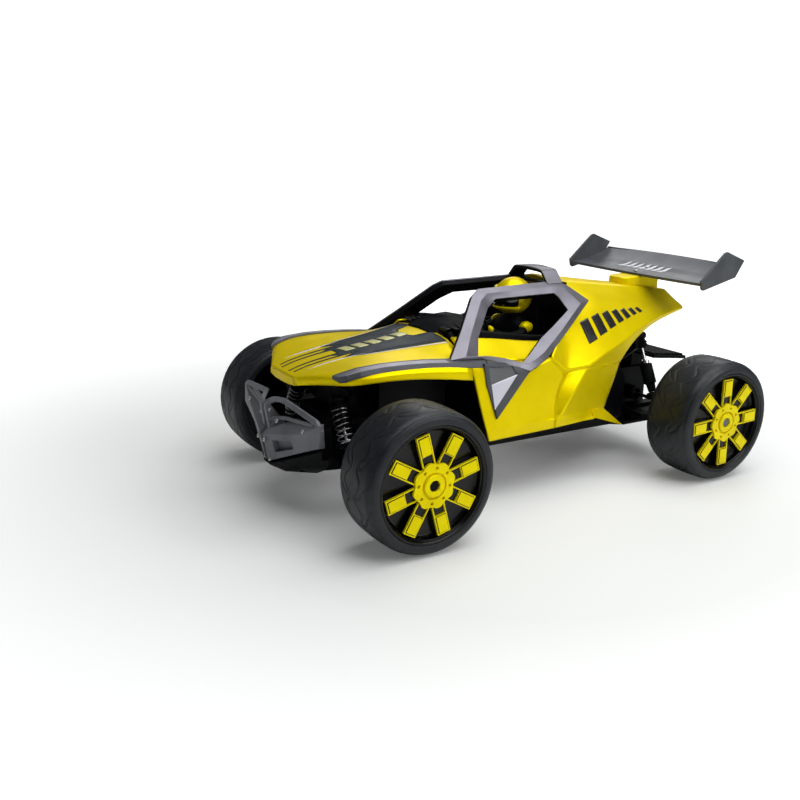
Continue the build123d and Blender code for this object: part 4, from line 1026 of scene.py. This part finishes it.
def make_bumper_bars():
    """Flat bar bent into a loop over each box, with a cross bar, a strut and screw heads."""
    def flat(wide, tall):
        return [(-wide, -tall), (wide, -tall), (wide, tall), (-wide, tall)]

    bars = Build()
    loop = rounded_path([(223.5, 5, 70), (227.6, 4.2, 92.5), (222, 10, 97), (217, 17, 96.6), (213, 70, 91.2),
                         (211.5, 73, 84)], 5)
    bars.sweep(loop, flat(2.2, 1.7), up=(1, 0, 0.3))
    bars.sweep(rounded_path([(224.6, 5, 79), (219, 20, 83.2), (213.5, 66, 88.2)], 6), flat(1.54, 1.36),
               up=(1, 0, 0.2))
    bars.sweep([(223.4, 5, 71), (221, 12, 82)], flat(1.76, 1.36), up=(0, 1, 0))
    bevel(mirror_y(bars.piece("bumper_bars", BUMPER)), 0.55, 3)
    screws = Build()
    for x, y, z in ((229.8, 6, 62), (224.4, 5, 44), (225.6, 8, 88), (222.6, 16, 79.8), (217.6, 54, 80.6)):
        screws.lathe([(0, 0), (0, 1.9), (0.9, 1.9), (1.3, 1.3), (1.3, 0.7), (0.5, 0.6), (0.5, 0)], (x, y, z),
                     (1, 0.15, 0.35), (0, 1, 0), 20)
    mirror_y(screws.piece("bumper_screws", STEEL))


def make_bumper_carrier():
    """Black chin under the boxes, and the carrier that holds them to the chassis."""
    chin = [[(224.6, 0, 41.6), (224.2, 6, 41.2), (214.6, 48, 59), (206, 66, 68)],
            [(213, 0, 34.6), (212, 9, 34.4), (207.5, 44, 48), (203, 58, 57)],
            [(188, 0, 32.2), (188, 20, 32.2), (190, 40, 42), (192, 50, 53)]]
    skirt = Build().loft(chin, closed=False, caps=False).piece("bumper_chin", BLACK)
    bevel(solidify(mirror_y(face_down(skirt)), 2.2), 0.5, 2)
    carrier = Build().box((186, -24, 34.5), (206, 24, 60))
    carrier.box((188, -46, 46), (200, -24, 56)).box((188, 24, 46), (200, 46, 56))
    carrier.box((190, 40, 52), (205, 50, 78)).box((190, -50, 52), (205, -40, 78))
    carrier.box((200, -12, 56), (222, 12, 62))
    bevel(carrier.piece("bumper_carrier", BLACK), 1.2, 3)


make_bumper()
make_bumper_bars()
make_bumper_carrier()


# ---------------------------------------------------------------- shocks
def turned(name, line, profile, body, material):
    """Part turned along a shock's own axis, from a closed profile of (distance, radius)."""
    top, foot = line
    part = Build().lathe(profile, top, Vector(foot) - Vector(top), (1, 0, 0), 40)
    bevel(part.piece(name, material, body=body), 0.25, 2)


def make_eye(name, point, bore, body, node, neck=None):
    """Pivot eye with its bore along the car, and a neck down the shock's axis where one is given."""
    ring = [(-4, bore), (-4, 3.6), (-3.6, 4), (3.6, 4), (4, 3.6), (4, bore)]
    part = Build().lathe(ring, point, (1, 0, 0), (0, 1, 0), 32)
    if neck:
        part.lathe([(2.6, 0), (2.6, 3.4), (6.4, 3.4), (6.4, 0)], point, neck, (1, 0, 0), 24)
    bevel(part.piece(name, BLACK, [node], body), 0.3, 2)


def make_coil(name, line, ends, radius, wire, turns, body, node):
    """Spring with a closed turn at each end."""
    top, foot = (Vector(p) for p in line)
    start, end = ends
    axis = (foot - top).normalized()
    across = Vector((1, 0, 0))
    third = axis.cross(across)
    path = []
    for i in range(28 * (turns + 2) + 1):
        turn = i / 28
        share = min(max((turn - 1) / turns, 0), 1)
        lift = start + wire + (end - start - 2 * wire) * share
        path.append(top + axis * lift + (across * cos(2 * pi * turn) + third * sin(2 * pi * turn)) * radius)
    piece = Build().sweep(path, circle(wire, 8), up=axis).piece(name, STEEL, [node], body)
    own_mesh(piece)


def on_side(line, sign):
    return [(x, y * sign, z) for x, y, z in line]


FRONT_LINE = ((178.5, 35, 97), (178.5, 60, 56))
REAR_LINE = ((-158, 35, 121), (-158, 62, 66))


def make_front_shock(side, sign):
    """Body and spring hang from the tower; the rod carries the spring's seat and the foot."""
    line = on_side(FRONT_LINE, sign)
    upper, lower = f"front_shock_{side}", f"front_rod_{side}"
    turned(f"front_shock_can_{side}", line, [
        (5.5, 1.8), (5.5, 6.6), (6.2, 7.4), (8.0, 7.4), (8.6, 6.4), (8.6, 5.4), (23.2, 5.4), (24, 4.8),
        (24, 1.8)], upper, BLACK)
    make_eye(f"front_shock_eye_{side}", line[0], 2.3, upper, f"front_shock_body_{side}",
             Vector(line[1]) - Vector(line[0]))
    turned(f"front_shock_seat_{side}", line, [
        (37.6, 1.7), (37.6, 6.6), (38.2, 7.4), (39.6, 7.4), (40.6, 5.0), (43.2, 3.6), (45.5, 3.2),
        (45.5, 0), (41, 0), (41, 1.7)], lower, BLACK)
    make_eye(f"front_shock_foot_{side}", line[1], 2.5, lower, f"front_shock_rod_{side}")
    turned(f"front_shock_shaft_{side}", line, [(19.5, 0), (19.5, 1.6), (41.5, 1.6), (41.5, 0)], lower, STEEL)
    make_coil(f"front_coil_{side}", line, (8.7, 37.5), 6.6, 0.62, 6, upper,
              f"front_spring_{side}")


def make_rear_shock(side, sign):
    """Rod with its ribbed cap hangs from the tower; the body below it stands on the arm."""
    line = on_side(REAR_LINE, sign)
    upper, lower = f"rear_shock_{side}", f"rear_damper_{side}"
    make_eye(f"rear_shock_eye_{side}", line[0], 2.3, upper, f"rear_shock_rod_{side}")
    turned(f"rear_shock_cap_{side}", line, [
        (3, 1.9), (3, 4.6), (6, 5.5), (7.4, 6.6), (8.8, 5.5), (10.2, 6.6), (11.6, 5.4), (13, 3.4),
        (13, 1.9)], upper, BLACK)
    turned(f"rear_shock_shaft_{side}", line, [
        (3, 0), (3, 1.8), (33.2, 1.8), (33.2, 4.1), (34.8, 4.1), (34.8, 0)], upper, STEEL)
    turned(f"rear_shock_can_{side}", line, [
        (29, 1.95), (29, 5.2), (29.8, 6), (48.4, 6), (49.4, 4.4), (57, 3.6), (57, 0), (48, 0), (48, 4.3),
        (31, 4.3), (31, 1.95)], lower, BLACK)
    turned(f"rear_shock_nut_{side}", line, [
        (25.6, 1.95), (25.6, 3.8), (28.9, 3.8), (28.9, 1.95)], lower, STEEL)
    make_eye(f"rear_shock_foot_{side}", line[1], 2.5, lower, f"rear_shock_body_{side}")
    make_coil(f"rear_coil_{side}", line, (35.6, 46.9), 3.3, 0.42, 5, upper, f"rear_spring_{side}")


for side, sign in SIDES:
    make_front_shock(side, sign)
    make_rear_shock(side, sign)


# ---------------------------------------------------------------- carried-over CAD nodes
def both(*stems):
    return [f"{stem}_{side}" for side in "lr" for stem in stems]


CAD_LOOKS = [
    (BLACK, 0.5, ["chassis_tub", "cockpit_tub", "gearbox_case", "front_bulkhead", "battery_cover", "servo",
                  "steering_bar"]),
    (BLACK_GLOSS, 0.3, ["servo_horn", "power_switch"]),
    (BLACK, 0.4, both("front_lower_arm", "front_upper_arm", "steering_hub", "rear_arm", "tie_rod",
                      "knuckle")),
    (DARK_STEEL, 0.15, both("rear_axle", "dogbone")),
    (STEEL, 0.1, ["screws"]), (CAN, 0.3, ["drive_motor"]), (BLACK, 0.1, ["diff_gear"]),
    (BRASS, 0.08, ["motor_pinion"]), (WRAP, 0.2, ["battery_pack"])]
for look, width, nodes in CAD_LOOKS:
    for node in nodes:
        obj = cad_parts[node]
        for material_slot in obj.material_slots:
            material_slot.material = look
        bevel(obj, width, 2, 30)


# ---------------------------------------------------------------- floor, light and camera
def floor_paint():
    """Matt white that glows more away from the car, for the camera alone."""
    shader = Shader("floor_white", (0.86, 0.88, 0.875), 0.55)
    shader.feed("Roughness", shader.ramp(shader.noise(3), 0.5, 0.6))
    distance = shader.tree.nodes.new("ShaderNodeVectorMath")
    distance.operation = "LENGTH"
    shader.tree.links.new(shader.place, distance.inputs[0])
    shader.bsdf.inputs["Emission Color"].default_value = (1, 1, 1, 1)
    glow = shader.tree.nodes.new("ShaderNodeMath")
    glow.operation = "MULTIPLY"
    shader.tree.links.new(shader.ramp(distance.outputs["Value"], 0.10, 1.0, 0.30, 0.95), glow.inputs[0])
    seen = shader.tree.nodes.new("ShaderNodeLightPath").outputs["Is Camera Ray"]
    shader.tree.links.new(seen, glow.inputs[1])
    shader.feed("Emission Strength", glow.outputs["Value"])
    return shader.material


def make_stage():
    """White floor that sweeps up into a low wall all round, in metres from the car."""
    profile = [(0.3, 0.0), (0.7, 0.0), (1.4, 0.0), (2.6, 0.0), (3.2, 0.04), (3.7, 0.2), (4.05, 0.6),
               (4.2, 1.2), (4.25, 2.1)]
    sides = 72
    rings = [[(x / MM, y / MM, z / MM) for x, y in circle_of(r, sides)] for r, z in profile]
    sweep = Build().loft(rings, caps=False).add(rings[0], [list(range(sides))])
    mesh = bpy.data.meshes.new("floor")
    mesh.from_pydata([Vector(p) * MM for p in sweep.points], [], sweep.faces)
    for face in mesh.polygons:
        face.use_smooth = True
    mesh.materials.append(floor_paint())
    obj = bpy.data.objects.new("floor", mesh)
    bpy.context.collection.objects.link(obj)


def make_world():
    world = bpy.data.worlds.new("studio")
    bpy.context.scene.world = world
    world.use_nodes = True
    background = world.node_tree.nodes["Background"]
    background.inputs["Color"].default_value = (1.0, 1.0, 1.0, 1)
    background.inputs["Strength"].default_value = 0.10


def area_light(name, place, target, size, power):
    """Rectangular lamp that faces its target."""
    lamp = bpy.data.lights.new(name, "AREA")
    lamp.shape = "RECTANGLE"
    lamp.size, lamp.size_y = size
    lamp.energy = power
    obj = bpy.data.objects.new(name, lamp)
    obj.location = place
    obj.rotation_euler = (Vector(target) - Vector(place)).to_track_quat("-Z", "Y").to_euler()
    bpy.context.collection.objects.link(obj)


def make_camera():
    """Three-quarter front view, from a little above the car and tilted slightly."""
    azimuth, elevation, roll = radians(148.579), radians(15.764), radians(1.411)
    back = Vector((sin(azimuth) * cos(elevation), -cos(azimuth) * cos(elevation), sin(elevation)))
    right = Vector((cos(azimuth), sin(azimuth), 0))
    up = back.cross(right)
    turned_right = right * cos(roll) + up * sin(roll)
    turned_up = up * cos(roll) - right * sin(roll)
    place = (0.507896, 0.673620, 0.300382)
    lens = bpy.data.cameras.new("camera")
    lens.lens = 41.108
    lens.sensor_width = 36
    lens.clip_start = 0.01
    camera = bpy.data.objects.new("camera", lens)
    facing = Matrix((turned_right, turned_up, back)).transposed().to_4x4()
    camera.matrix_world = Matrix.Translation(place) @ facing
    bpy.context.collection.objects.link(camera)
    bpy.context.scene.camera = camera


make_stage()
make_world()
area_light("key_overhead", (-0.15, 0.25, 1.25), (0.0, 0.05, 0.08), (1.5, 1.2), 15)
area_light("side_box", (-0.75, 1.4, 0.85), (-0.02, 0.06, 0.10), (1.0, 0.6), 8.5)
area_light("back_box", (-1.0, -1.0, 0.9), (-0.05, 0.0, 0.1), (1.2, 0.7), 4)
make_camera()
bpy.context.scene.view_settings.view_transform = "Standard"
